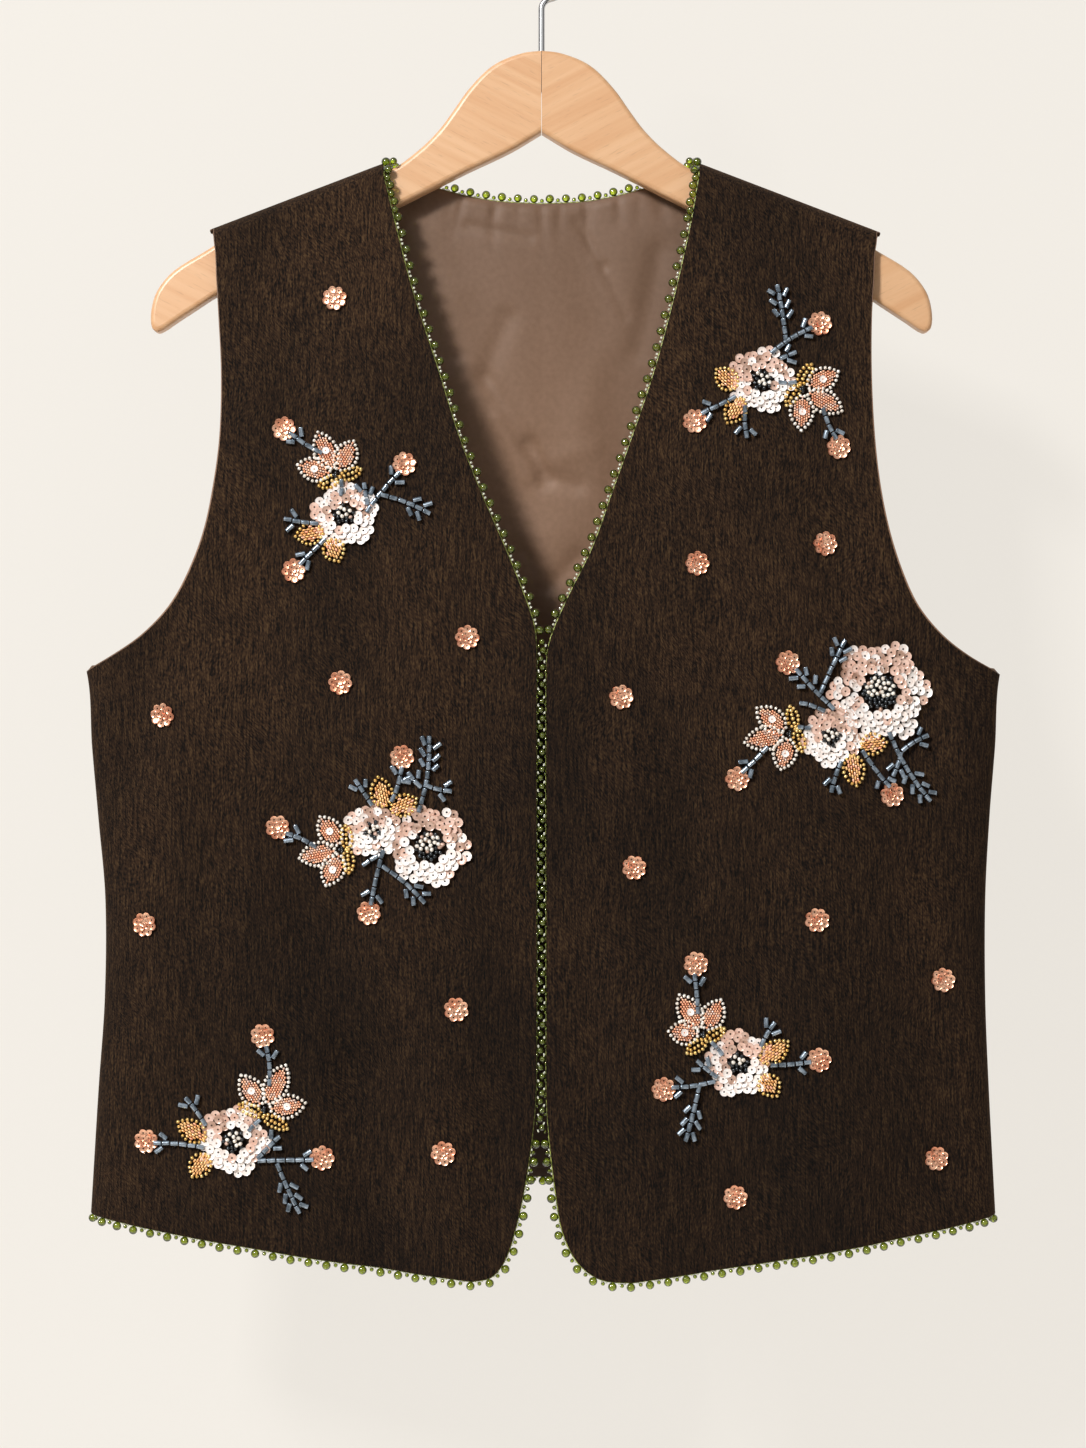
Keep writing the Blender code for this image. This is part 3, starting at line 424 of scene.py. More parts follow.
# %% [markdown]
# ## Folds and creases
#
# Cloth that hangs is never flat. The large folds are in the solids already: soft
# ridges and troughs along lines, with the height of a bell curve across them. Finer
# creases are added here in the same way, with a smaller width and height, and a few
# long, low waves keep the rest of the cloth from looking pressed. A simulation could
# make folds too, but these lie exactly where the garment pulls: at the underarm, from
# the bust to the hem and at the side seams.

# %% Large folds, as in the solids
Fold = namedtuple("Fold", "face top_x top_drop foot_x foot_drop half_width height")
FOLDS = (
    Fold(FRONT, -148, 185, -136, 272, 15, -1.6),
    Fold(FRONT, -212, 412, -232, 470, 13, -2.6),
    Fold(FRONT, -206, 440, -212, 640, 22, 2.8),
    Fold(FRONT, -140, 500, -100, 640, 20, -3.2),
    Fold(FRONT, -100, 640, -86, 760, 20, -3.0),
    Fold(FRONT, -58, 560, -48, 745, 24, 2.4),
    Fold(FRONT, -60, 330, -110, 470, 26, 1.6),
    Fold(FRONT, 52, 425, 84, 520, 16, -2.0),
    Fold(FRONT, 44, 590, 52, 700, 20, 2.2),
    Fold(FRONT, 100, 600, 106, 765, 22, -2.6),
    Fold(FRONT, 158, 540, 166, 760, 26, 2.4),
    Fold(FRONT, 216, 425, 222, 700, 15, -2.4),
    Fold(FRONT, 120, 300, 150, 420, 26, 1.6),
    Fold(BACK, -206, 428, -150, 530, 16, -3.0),
    Fold(BACK, -178, 520, -186, 730, 22, 2.6),
    Fold(BACK, -112, 400, -96, 730, 24, -3.2),
    Fold(BACK, -30, 330, -40, 720, 28, 2.4),
    Fold(BACK, 40, 420, 52, 720, 24, -3.0),
    Fold(BACK, 120, 380, 128, 730, 26, 2.6),
    Fold(BACK, 210, 430, 168, 560, 16, -2.8),
    Fold(BACK, 180, 560, 190, 730, 18, -2.2),
    Fold(BACK, -14, 180, 16, 330, 24, -2.0),
)

# %% Finer creases
CREASES = (
    Fold(FRONT, -232, 424, -206, 452, 7, -1.1),
    Fold(FRONT, -228, 446, -196, 492, 8, -0.9),
    Fold(FRONT, -150, 470, -170, 560, 12, 0.9),
    Fold(FRONT, -236, 560, -222, 690, 9, 0.9),
    Fold(FRONT, -124, 570, -118, 690, 9, 0.8),
    Fold(FRONT, -30, 600, -26, 735, 10, -0.9),
    Fold(FRONT, -160, 640, -150, 735, 11, -0.9),
    Fold(FRONT, -112, 190, -128, 300, 12, 0.8),
    Fold(FRONT, -66, 210, -64, 290, 9, -0.6),
    Fold(FRONT, -160, 250, -186, 360, 10, 0.7),
    Fold(FRONT, 234, 424, 206, 456, 7, -1.1),
    Fold(FRONT, 226, 450, 190, 500, 8, -0.8),
    Fold(FRONT, 30, 560, 26, 730, 10, -0.8),
    Fold(FRONT, 76, 620, 84, 745, 10, 0.8),
    Fold(FRONT, 128, 640, 136, 740, 9, -0.8),
    Fold(FRONT, 196, 560, 200, 735, 10, -0.9),
    Fold(FRONT, 238, 520, 236, 700, 8, 0.8),
    Fold(FRONT, 104, 186, 118, 300, 12, 0.8),
    Fold(FRONT, 150, 200, 172, 330, 10, -0.7),
    Fold(FRONT, 66, 240, 60, 330, 9, -0.6),
    Fold(BACK, -226, 430, -190, 480, 8, -1.2),
    Fold(BACK, 228, 430, 192, 484, 8, -1.2),
    Fold(BACK, -120, 200, -90, 330, 14, 1.0),
    Fold(BACK, 118, 205, 92, 340, 13, 1.0),
    Fold(BACK, -70, 480, -66, 715, 11, 0.9),
    Fold(BACK, 8, 520, 10, 715, 12, -1.0),
    Fold(BACK, 84, 500, 90, 715, 10, 0.9),
    Fold(BACK, -148, 560, -140, 715, 10, -1.0),
    Fold(BACK, 150, 590, 158, 715, 10, -0.9),
    Fold(BACK, -216, 560, -222, 712, 9, 0.9),
    Fold(BACK, -60, 250, 30, 300, 10, -0.6),
)


def fold_height(folds, face, x, drop, fading=0.0):
    """How far the folds lift the cloth, in millimetres.

    A fading fold widens and dies away towards its foot."""
    total = np.zeros(np.broadcast(x, drop).shape)
    for fold in folds:
        if fold.face != face:
            continue
        line = np.array([fold.foot_x - fold.top_x, fold.foot_drop - fold.top_drop])
        t = ((x - fold.top_x) * line[0] + (drop - fold.top_drop) * line[1]) / (line @ line)
        t = np.clip(t, 0, 1)
        off = np.hypot(x - fold.top_x - t * line[0], drop - fold.top_drop - t * line[1])
        width = fold.half_width * (1 + fading * t)
        total += fold.height * (1 - fading * t) * np.exp(-((off / width) ** 2))
    return total


# Long, low waves: height, wavelength across and down, and phase
WAVES = ((0.35, 62, 300, 0.4), (0.25, 37, -190, 2.1), (0.2, 91, 120, 4.0))


def wave_height(face, x, drop):
    total = 0.0
    for height, across, down, phase in WAVES:
        turn = 2 * math.pi * (x / across + drop / down)
        total = total + height * np.sin(turn + phase + face)
    return total


# %% The cloth's surface
FINE_FROM = 30.0
FINE_EASE = 40.0


def cloth_surface(side, face, out, along):
    """Points on the outside of the garment, in metres. Negative along is past the ridge."""
    out, along = np.broadcast_arrays(np.asarray(out, float), np.asarray(along, float))
    angle = np.minimum(along / ARCH_LENGTH, 1) * math.pi / 2
    fall = along - ARCH_LENGTH + ARCH_RISE
    on_arch = along < ARCH_LENGTH
    drop = ridge_drop(out) + np.where(on_arch, ARCH_RISE * (1 - np.cos(angle)), fall)
    x = side * out
    body = smooth(DEPTHS, fall)[..., 0 if face == FRONT else 1]
    body = body + fold_height(FOLDS, face, x, drop)
    fine = fold_height(CREASES, face, x, drop) + wave_height(face, x, drop)
    body = body + fine * np.clip((along - FINE_FROM) / FINE_EASE, 0, 1)
    depth = np.where(on_arch, ARCH_DEPTH * np.sin(angle), body)
    across = np.clip(np.abs(out) / side_out(side, drop), 0, 1)
    closing = (1 - across**SQUARENESS) ** (1 / SQUARENESS)
    return np.stack([x, face * depth * closing, -drop], axis=-1) * MM


print("at the chest:", cloth_surface(1, FRONT, 100.0, 200.0).round(4))

# %% [markdown]
# ## The panels
#
# A tailor cuts two fronts and a back. Each is made as a grid: rows run from the neck or
# front edge out to the armhole or side seam, and the table gives the ends of every main
# row. Smooth curves join the ends, so the edges are true curves and not a row of
# straight cuts. The only sharp corner is at the underarm, so the outer edge is drawn as
# two curves that meet there.

# %% The fronts' rows
Row = namedtuple("Row", "edge_out edge_drop side_out side_drop")
ON_SEAM = None
UNDERARM_ROW = 11
FRONT_ROWS = {
    "right": (
        Row(86.3, 148.6, 182.2, 184.0),
        Row(82.2, 166.0, 181.6, 197.0),
        Row(72.8, 202.5, 180.1, 220.0),
        Row(57.5, 250.2, 178.5, 252.0),
        Row(46.0, 287.0, 179.2, 286.0),
        Row(33.4, 319.0, 182.6, 314.0),
        Row(21.0, 347.5, 188.0, 340.0),
        Row(10.0, 375.0, 197.0, 363.5),
        Row(4.6, 391.0, 207.5, 381.5),
        Row(2.9, 404.0, 222.0, 396.5),
        Row(2.7, 417.0, 238.0, 407.5),
        Row(2.7, 431.0, ON_SEAM, 417.3),
        Row(2.7, 470.0, ON_SEAM, 460.0),
        Row(2.7, 515.0, ON_SEAM, 508.0),
        Row(2.7, 565.0, ON_SEAM, 558.0),
        Row(2.7, 615.0, ON_SEAM, 608.0),
        Row(3.4, 655.0, ON_SEAM, 650.0),
        Row(6.0, 680.0, ON_SEAM, 678.0),
        Row(9.6, 703.0, ON_SEAM, 697.0),
        Row(15.0, 727.0, ON_SEAM, 708.5),
        Row(20.5, 743.0, ON_SEAM, 715.0),
        Row(27.5, 751.5, ON_SEAM, 718.6),
        Row(38.5, 753.8, ON_SEAM, 720.5),
    ),
    "left": (
        Row(86.8, 148.6, 186.3, 184.0),
        Row(83.8, 166.0, 185.7, 197.0),
        Row(75.6, 202.5, 184.3, 220.0),
        Row(63.0, 250.2, 184.1, 252.0),
        Row(50.6, 287.0, 185.6, 286.0),
        Row(39.2, 319.0, 188.6, 314.0),
        Row(29.0, 347.5, 193.8, 340.0),
        Row(15.6, 375.0, 201.4, 363.5),
        Row(8.4, 391.0, 210.0, 381.5),
        Row(3.9, 404.0, 223.0, 397.0),
        Row(2.7, 417.0, 238.0, 408.5),
        Row(2.6, 431.0, ON_SEAM, 419.0),
        Row(2.6, 470.0, ON_SEAM, 460.0),
        Row(2.6, 515.0, ON_SEAM, 508.0),
        Row(2.6, 565.0, ON_SEAM, 558.0),
        Row(2.6, 615.0, ON_SEAM, 608.0),
        Row(2.8, 655.0, ON_SEAM, 650.0),
        Row(4.8, 680.0, ON_SEAM, 678.0),
        Row(7.6, 703.0, ON_SEAM, 697.0),
        Row(11.8, 727.0, ON_SEAM, 708.5),
        Row(20.0, 744.0, ON_SEAM, 715.0),
        Row(32.0, 752.8, ON_SEAM, 719.0),
        Row(50.0, 754.8, ON_SEAM, 721.0),
    ),
}

SIDES = {"right": -1, "left": 1}

# %% How fine the cloth is, and its wall
WALL = 2.2
LINING_WALL = 1.0
SEAM_GAP = 0.3
CELL = 3.4
FRONT_COLUMNS = 70
COLUMN_EASE = 1.5
HEM_BOW = 1.8
ARM_TIP_PAST = 2.2
NECK_LEAN = 0.05
ARM_LEAN = 0.08
FRONT_ARCH = (SEAM_ALONG, 11.2, ARCH_LENGTH)
FRONT_CORNER = len(FRONT_ARCH) + UNDERARM_ROW


# %% The outer edge, as a list of main points and then finely
def outer_points(side, rows):
    """Out and along of these rows' outer ends."""
    found = []
    for row in rows:
        out = row.side_out
        if out is ON_SEAM:
            out = float(side_out(side, row.side_drop))
        found.append((out, float(along_at(out, row.side_drop))))
    return found


def fine_places(points, others):
    """Fractional point numbers, so that no step is longer than a cell on either line."""
    steps = np.maximum(
        np.linalg.norm(np.diff(points, axis=0), axis=1),
        np.linalg.norm(np.diff(others, axis=0), axis=1),
    )
    counts = [math.ceil(step / CELL) for step in steps]
    places = [np.arange(count) / count + i for i, count in enumerate(counts)]
    return np.concatenate([*places, [len(points) - 1]])


def outer_curve(side, points, drops, corner, at):
    """The outer edge at these places: a curve to the underarm, then down the side seam."""
    arm = through(points[: corner + 1], np.minimum(at, corner))
    drop = np.interp(at, np.arange(len(drops)), drops)
    out = side_out(side, drop)
    seam = np.stack([out, along_at(out, drop)], axis=-1)
    return np.where((at >= corner)[:, None], seam, arm)


# %% Outer and inner skins of a wall
def skins(outer, toward):
    """The wall's two faces. toward is 1 or -1, to turn the normals to the outside."""
    over = np.gradient(outer, axis=1)
    down = np.gradient(outer, axis=0)
    normal = np.cross(over, down)
    normal *= toward / np.linalg.norm(normal, axis=-1, keepdims=True)
    return outer, outer - normal * WALL * MM


def close_seam(outer, inner, side, column, rows):
    """Lays the end of the wall in the side seam's own plane.

    The solids stand 0.3 mm apart there. The fine walls meet, so no light shows through."""
    outer[rows, column, 1] = 0.0
    inner[rows, column] = outer[rows, column] + np.array([-side * WALL * MM, 0, 0])


def front_skins(side, name):
    """One front's outer and inner skin, as grids of points, and its underarm row."""
    rows = FRONT_ROWS[name]
    tip = rows[0].side_out + ARM_TIP_PAST
    starts = np.array(FRONT_ARCH) + np.array([SEAM_GAP / 2, 0, 0])
    edge = [(NECK_POINT_OUT - NECK_LEAN * a, s) for a, s in zip(FRONT_ARCH, starts)]
    arm = [(tip - ARM_LEAN * s, s) for s in starts]
    edge += [(row.edge_out, float(along_at(row.edge_out, row.edge_drop))) for row in rows]
    arm += outer_points(side, rows)
    drops = [0.0] * len(FRONT_ARCH) + [row.side_drop for row in rows]
    at = fine_places(edge, arm)
    edge = through(edge, at)
    outer = outer_curve(side, arm, drops, FRONT_CORNER, at)
    bow = HEM_BOW * np.clip((at - FRONT_CORNER) / (len(arm) - FRONT_CORNER), 0, None)
    s = 1 - (1 - np.arange(FRONT_COLUMNS + 1) / FRONT_COLUMNS) ** COLUMN_EASE
    across = edge[:, :, None] + s * (outer[:, :, None] - edge[:, :, None])
    out, along = across[:, 0], across[:, 1]
    along = along + bow[:, None] * 4 * s * (1 - s)
    outside, inside = skins(cloth_surface(side, FRONT, out, along), side * FRONT)
    close_seam(outside, inside, side, -1, at >= FRONT_CORNER)
    return outside, inside, int(np.searchsorted(at, FRONT_CORNER))


# %% Walls into meshes
ROLLED_COLUMNS = 2


def wall_object(name, outside, inside, materials, round_off=0.9, rolled=(), underarm=0):
    """A closed wall from two grids of points. Its open edges are rounded by a Bevel.

    The last material goes inside. Along the rolled columns, down to the underarm row, it
    shows past the edge."""
    rows, columns = outside.shape[:2]
    lining_slot = len(materials) - 1
    number = np.arange(rows * columns).reshape(rows, columns)
    corners = (number[:-1, :-1], number[:-1, 1:], number[1:, 1:], number[1:, :-1])
    quads = np.stack(corners, -1).reshape(-1, 4)
    sides = (number[0], number[1:, -1], number[-1, -2::-1], number[-2:0:-1, 0])
    border = np.concatenate(sides)
    after = np.roll(border, -1)
    count = rows * columns
    rim = np.stack([border, after, after + count, border + count], -1)
    faces = np.concatenate([quads, quads[:, ::-1] + count, rim[:, ::-1]])
    mesh = bpy.data.meshes.new(name)
    points = np.concatenate([outside.reshape(-1, 3), inside.reshape(-1, 3)])
    mesh.from_pydata(points.tolist(), [], faces.tolist())
    marks = np.zeros(len(faces), np.int32)
    marks[len(quads) : 2 * len(quads)] = lining_slot
    outer_marks = marks[: len(quads)].reshape(rows - 1, columns - 1)
    for column in rolled:
        shown = slice(-ROLLED_COLUMNS, None) if column else slice(0, 1)
        outer_marks[:underarm, shown] = lining_slot
    row, column = np.divmod(border, columns)
    at_roll = np.isin(column, [edge % columns for edge in rolled]) & (row <= underarm)
    marks[2 * len(quads) :][at_roll & np.roll(at_roll, -1)] = lining_slot
    mesh.polygons.foreach_set("material_index", marks)
    for material in materials:
        mesh.materials.append(material)
    ends = np.empty(len(mesh.edges) * 2, np.int32)
    mesh.edges.foreach_get("vertices", ends)
    ends = np.sort(ends.reshape(-1, 2), axis=1)
    rims = {tuple(sorted(pair)) for pair in zip(border.tolist(), after.tolist())}
    rims |= {(a + count, b + count) for a, b in rims}
    weights = np.array([tuple(pair) in rims for pair in ends.tolist()], np.float32)
    bevelled = mesh.attributes.new("bevel_weight_edge", "FLOAT", "EDGE")
    bevelled.data.foreach_set("value", weights)
    outer_normal = np.array(mesh.polygons[0].normal)
    if outer_normal @ (outside[0, 0] - inside[0, 0]) < 0:
        mesh.flip_normals()
    mesh.shade_smooth()
    obj = bpy.data.objects.new(name, mesh)
    scene.collection.objects.link(obj)
    bevel = obj.modifiers.new("soft edge", "BEVEL")
    bevel.limit_method = "WEIGHT"
    bevel.width = round_off * MM
    bevel.segments = 3
    return obj


# %% [markdown]
# ## The back
#
# The back is one panel. It comes up over the hanger and joins the fronts just in front
# of the ridge, and its top edge dips in a shallow curve behind the neck. Its rows are
# straight lines at the hem and take the shape of the neck edge towards the top, so the
# neck's curve fades out over the first hand's width.

# %% Sizes of the back
BACK_ARCH = (-SEAM_ALONG, -1.0, 5.0, 10.5, ARCH_LENGTH)
BACK_ROWS = (0, 1, 2, 3, 5, 7, 9, 11, 12, 13, 14, 15, 16, 18, 20, 22)
BACK_SHARES = (0.0, 0.14, 0.27, 0.38, 0.45, 0.495, 0.545, 0.66, 0.79, 0.9, 0.97, 1.0)
BACK_FINENESS = 6
BACK_CORNER = len(BACK_ARCH) + BACK_ROWS.index(UNDERARM_ROW)
BACK_TIP_SPREAD = 1.6
BACK_TIP_LENGTH = 18.0
BACK_NECK_FADE = 190.0
BACK_CENTRE_UNDERARM = 428.0
BACK_CENTRE_HEM = 705.3
# Out and along of the neck edge, from the centre over the ridge
BACK_NECK = (
    (0.0, 62.0),
    (23.5, 51.6),
    (40.5, 42.3),
    (52.0, 35.0),
    (65.0, 26.4),
    (76.0, 18.2),
    (83.5, 9.5),
    (88.0, 1.5),
    (89.0, -SEAM_ALONG),
)


# %% The places of the back's rows, and its columns' shares of the half width
BACK_PLACES = fine_places(
    [(0.0, a) for a in BACK_ARCH]
    + outer_points(1, [FRONT_ROWS["left"][number] for number in BACK_ROWS]),
    [(0.0, 0.0)] * (len(BACK_ARCH) + len(BACK_ROWS)),
)
ACROSS = np.interp(
    np.arange((len(BACK_SHARES) - 1) * BACK_FINENESS + 1) / BACK_FINENESS,
    np.arange(len(BACK_SHARES)),
    BACK_SHARES,
)
print("back rows and half columns:", len(BACK_PLACES), len(ACROSS))


# %% Half of the back
def back_half(side, name):
    """Out and along grids of half the back."""
    rows = FRONT_ROWS[name]
    tip = rows[0].side_out + ARM_TIP_PAST
    starts = np.array(BACK_ARCH) + np.array([SEAM_GAP / 2, 0, 0, 0, 0])
    chosen = [rows[number] for number in BACK_ROWS]
    points = [(tip - NECK_LEAN * max(a, 0), s) for a, s in zip(BACK_ARCH, starts)]
    points += outer_points(side, chosen)
    drops = [0.0] * len(BACK_ARCH) + [row.side_drop for row in chosen]
    outer = outer_curve(side, points, drops, BACK_CORNER, BACK_PLACES)
    top = BACK_NECK[0][1]
    keys = (-SEAM_ALONG, points[BACK_CORNER][1], points[-1][1])
    middle_underarm = float(along_at(0, BACK_CENTRE_UNDERARM))
    middle_hem = float(along_at(0, BACK_CENTRE_HEM))
    centre = np.interp(outer[:, 1], keys, (top, middle_underarm, middle_hem))[:, None]
    fade = np.clip(1 - (outer[:, 1] + SEAM_ALONG) / BACK_NECK_FADE, 0, None)[:, None] ** 2
    spread = BACK_TIP_SPREAD * np.exp(-((outer[:, 1] / BACK_TIP_LENGTH) ** 2))[:, None]
    lengths = lengths_along(BACK_NECK)
    walked = ACROSS * (lengths[-1] + tip - NECK_POINT_OUT)
    neck = smooth(np.column_stack([lengths, BACK_NECK]), walked)
    past = np.clip(walked - lengths[-1], 0, None)
    top_out, top_along = neck[:, 0] + past, neck[:, 1]
    out = ACROSS * (outer[:, 0, None] + spread) + fade * (top_out - ACROSS * tip)
    along = centre + ACROSS * (outer[:, 1, None] - centre)
    along = along + fade * (top_along - top - ACROSS * (-SEAM_ALONG - top))
    return out, along


def back_skins():
    """The back's outer and inner skin, right side first, and its underarm row."""
    right, left = (
        cloth_surface(side, BACK, *back_half(side, name)) for name, side in SIDES.items()
    )
    surface = np.concatenate([right[:, :0:-1], left], axis=1)
    outside, inside = skins(surface, BACK)
    for side, column in ((-1, 0), (1, -1)):
        close_seam(outside, inside, side, column, BACK_PLACES >= BACK_CORNER)
    return outside, inside, int(np.searchsorted(BACK_PLACES, BACK_CORNER))


# %% [markdown]
# ## The cloth's finish
#
# Chenille is woven with a fluffy yarn: short fibres stand out all round a twisted core,
# so it drinks light like velvet. On this cloth the yarn runs down the garment. The gaps
# between yarns show as fine dark vertical dashes, and on the yarns the pile lies over in
# short slanting tufts. Cotton chenille is a matt dielectric, so its IOR is about 1.5, it
# has no metal in it, and its roughness is near 1. The soft glow at its edges comes from
# sheen.
#
# A tuft is about 0.5 mm wide, which is under a pixel, so tufts are drawn 0.6 mm wide.
# Handling turns the pile, so a broad noise bends the tufts' direction from place to place.
# Pile that lies another way is lighter or darker. Painted light makes it lighter towards
# the shoulders and darker towards the hem, and a painted sheen lightens the sides.

# %% Brown chenille
TUFT = 0.62
TUFT_LENGTH = 2.0
TUFT_LEAN = 16.0
DRIFT = 42.0
BEND = 26.0
SLUB = 0.9
SLUB_LENGTH = 12.0
SLUB_SHARE = 0.9
BRUSHED = 52.0
BRUSHED_LENGTH = 130.0
BRUSHED_SHADES = (0.72, 1.22)
# Where the painted sheen at the sides begins and ends, and how much lighter it makes them
SIDE_SHEEN_OUT = (150.0, 250.0)
SIDE_SHEEN_SHADES = (0.95, 1.2)
# The low and the high end of a slow change of painted light down the garment
TOP_LIGHT_DROPS = (620.0, 150.0)
TOP_LIGHT_SHADES = (0.8, 1.3)
CHENILLE_TONES = ((0.4, "0c0603"), (0.47, "21150c"), (0.55, "2d1e12"), (0.65, "41301e"))


def turned_in_plane(tree, place, lean):
    """Coordinates turned by this many degrees in the plane that faces the viewer."""
    inputs = {"Vector": place, "Angle": math.radians(lean)}
    turned = put(tree, "ShaderNodeVectorRotate", inputs, rotation_type="Y_AXIS")
    return turned.outputs["Vector"]


def streaks(tree, place, width, length, detail=2.0, lean=0.0):
    """Noise drawn out along the garment's length: width and length in millimetres."""
    turned = turned_in_plane(tree, place, lean)
    scale = (per_mm(width), per_mm(width), per_mm(length))
    drawn_out = calculate_vector(tree, "MULTIPLY", turned, scale)
    inputs = {"Vector": drawn_out, "Scale": 1.0, "Detail": detail}
    return put(tree, "ShaderNodeTexNoise", inputs).outputs["Fac"]


def drops_range(drops):
    """The two heights in metres of two drops in millimetres."""
    return tuple(-drop * MM for drop in drops)


def chenille():
    material, tree, shader, place = new_material("brown_chenille")
    drift = mottle(tree, place, DRIFT, detail=0.0)
    bent = calculate_vector(tree, "MULTIPLY_ADD", drift, (BEND * MM, 0, 0), place)
    tuft = streaks(tree, bent, TUFT, TUFT_LENGTH, detail=1.0, lean=TUFT_LEAN)
    slub = streaks(tree, place, SLUB, SLUB_LENGTH)
    pile = calculate(tree, "MULTIPLY_ADD", slub, SLUB_SHARE, tuft)
    depth = calculate(tree, "DIVIDE", pile, 1 + SLUB_SHARE)
    brown = blend(tree, depth, *((position, rgba(code)) for position, code in CHENILLE_TONES))
    brushed = streaks(tree, place, BRUSHED, BRUSHED_LENGTH)
    brushed = ranged(tree, brushed, (0.35, 0.65), BRUSHED_SHADES)
    where = put(tree, "ShaderNodeSeparateXYZ", {"Vector": place}).outputs
    out = calculate(tree, "ABSOLUTE", where["X"])
    # A painted sheen lightens the sides and painted light lightens the top; both scale the
    # brown.
    side_sheen_out = [distance * MM for distance in SIDE_SHEEN_OUT]
    side_sheen = ranged(tree, out, side_sheen_out, SIDE_SHEEN_SHADES, "SMOOTHSTEP")
    top_light = ranged(tree, where["Z"], drops_range(TOP_LIGHT_DROPS), TOP_LIGHT_SHADES)
    shade = calculate(tree, "MULTIPLY", top_light, side_sheen)
    shade = calculate(tree, "MULTIPLY", brushed, shade)
    feed(tree, shader, {
        "Base Color": calculate_vector(tree, "MULTIPLY", brown, shade),
        "Roughness": 0.95,
        "IOR": 1.5,
        "Specular IOR Level": 0.15,
        "Sheen Weight": 0.2,
        "Sheen Roughness": 0.35,
        "Sheen Tint": rgba("a5764a"),
    })
    emboss(tree, shader, pile, strength=0.5, most=0.5)
    return material


BROWN_CHENILLE = chenille()
print("made", BROWN_CHENILLE.name)

# %% [markdown]
# ## The lining's finish
#
# The lining is a taupe satin: long floats of polyester thread lie side by side, so it
# has a soft, wide gloss and hardly any grain. Polyester's IOR is about 1.55 and a washed
# satin's roughness about 0.6. The threads are far too fine to see, so a faint mottling
# 3 mm wide stands for their small differences.

# %% Taupe satin
# Painted shade makes it dark at the neck, under the hanger and the fronts, and darker
# still low in the body, where the fronts close over it. Each pair gives the low end and
# then the high one.
NECK_SHADE_DROPS = (390.0, 145.0)
NECK_SHADES = (1.12, 0.68)
BODY_SHADE_DROPS = (450.0, 375.0)
BODY_SHADES = (0.22, 1.0)


def satin():
    material, tree, shader, place = new_material("taupe_satin")
    floats = mottle(tree, place, 3.0, detail=3.0)
    taupe = blend(tree, floats, (0.3, rgba("7d5f49")), (0.7, rgba("856650")))
    height = put(tree, "ShaderNodeSeparateXYZ", {"Vector": place}).outputs["Z"]
    # Painted shade: darker under the neck edge, and darker still where the fronts close over
    # it
    neck_shade = ranged(tree, height, drops_range(NECK_SHADE_DROPS), NECK_SHADES, "SMOOTHSTEP")
    body_shade = ranged(tree, height, drops_range(BODY_SHADE_DROPS), BODY_SHADES, "SMOOTHSTEP")
    shade = calculate(tree, "MULTIPLY", neck_shade, body_shade)
    feed(tree, shader, {
        "Base Color": calculate_vector(tree, "MULTIPLY", taupe, shade),
        "Roughness": 0.62,
        "IOR": 1.55,
        "Specular IOR Level": 0.3,
        "Sheen Weight": 0.08,
        "Sheen Roughness": 0.3,
        "Sheen Tint": rgba("a5815f"),
    })
    emboss(tree, shader, floats, strength=0.05, most=0.2)
    return material


TAUPE_SATIN = satin()
print("made", TAUPE_SATIN.name)

# %% Make the fronts
ROOT = "root"
CLOTH = (BROWN_CHENILLE, TAUPE_SATIN)
fronts = {}
grids = {}
for name, side in SIDES.items():
    *grids[name], underarm = front_skins(side, name)
    panel = wall_object(f"front_panel_{name}", *grids[name], CLOTH,
                        rolled=(-1,), underarm=underarm)
    fronts[name] = panel
    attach(panel, ROOT)
    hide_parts(f"front_{name}")
    print(panel.name, grids[name][0].shape[:2], "points")

# %% Make the back
*grids["back"], underarm = back_skins()
back_panel = wall_object("back_panel", *grids["back"], CLOTH,
                         rolled=(0, -1), underarm=underarm)
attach(back_panel, ROOT)
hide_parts("back")
print(back_panel.name, grids["back"][0].shape[:2], "points")

# %% [markdown]
# ## The lining
#
# The back's lining shows through the neck. It is cut a little longer than the back so
# that it never pulls. The spare length keeps it off the back, towards the wearer, and
# soft troughs are pressed into it: puckers under the neck edge, where the beads are sewn
# through it, and a few long creases. Behind the hanger it lies close to the back.

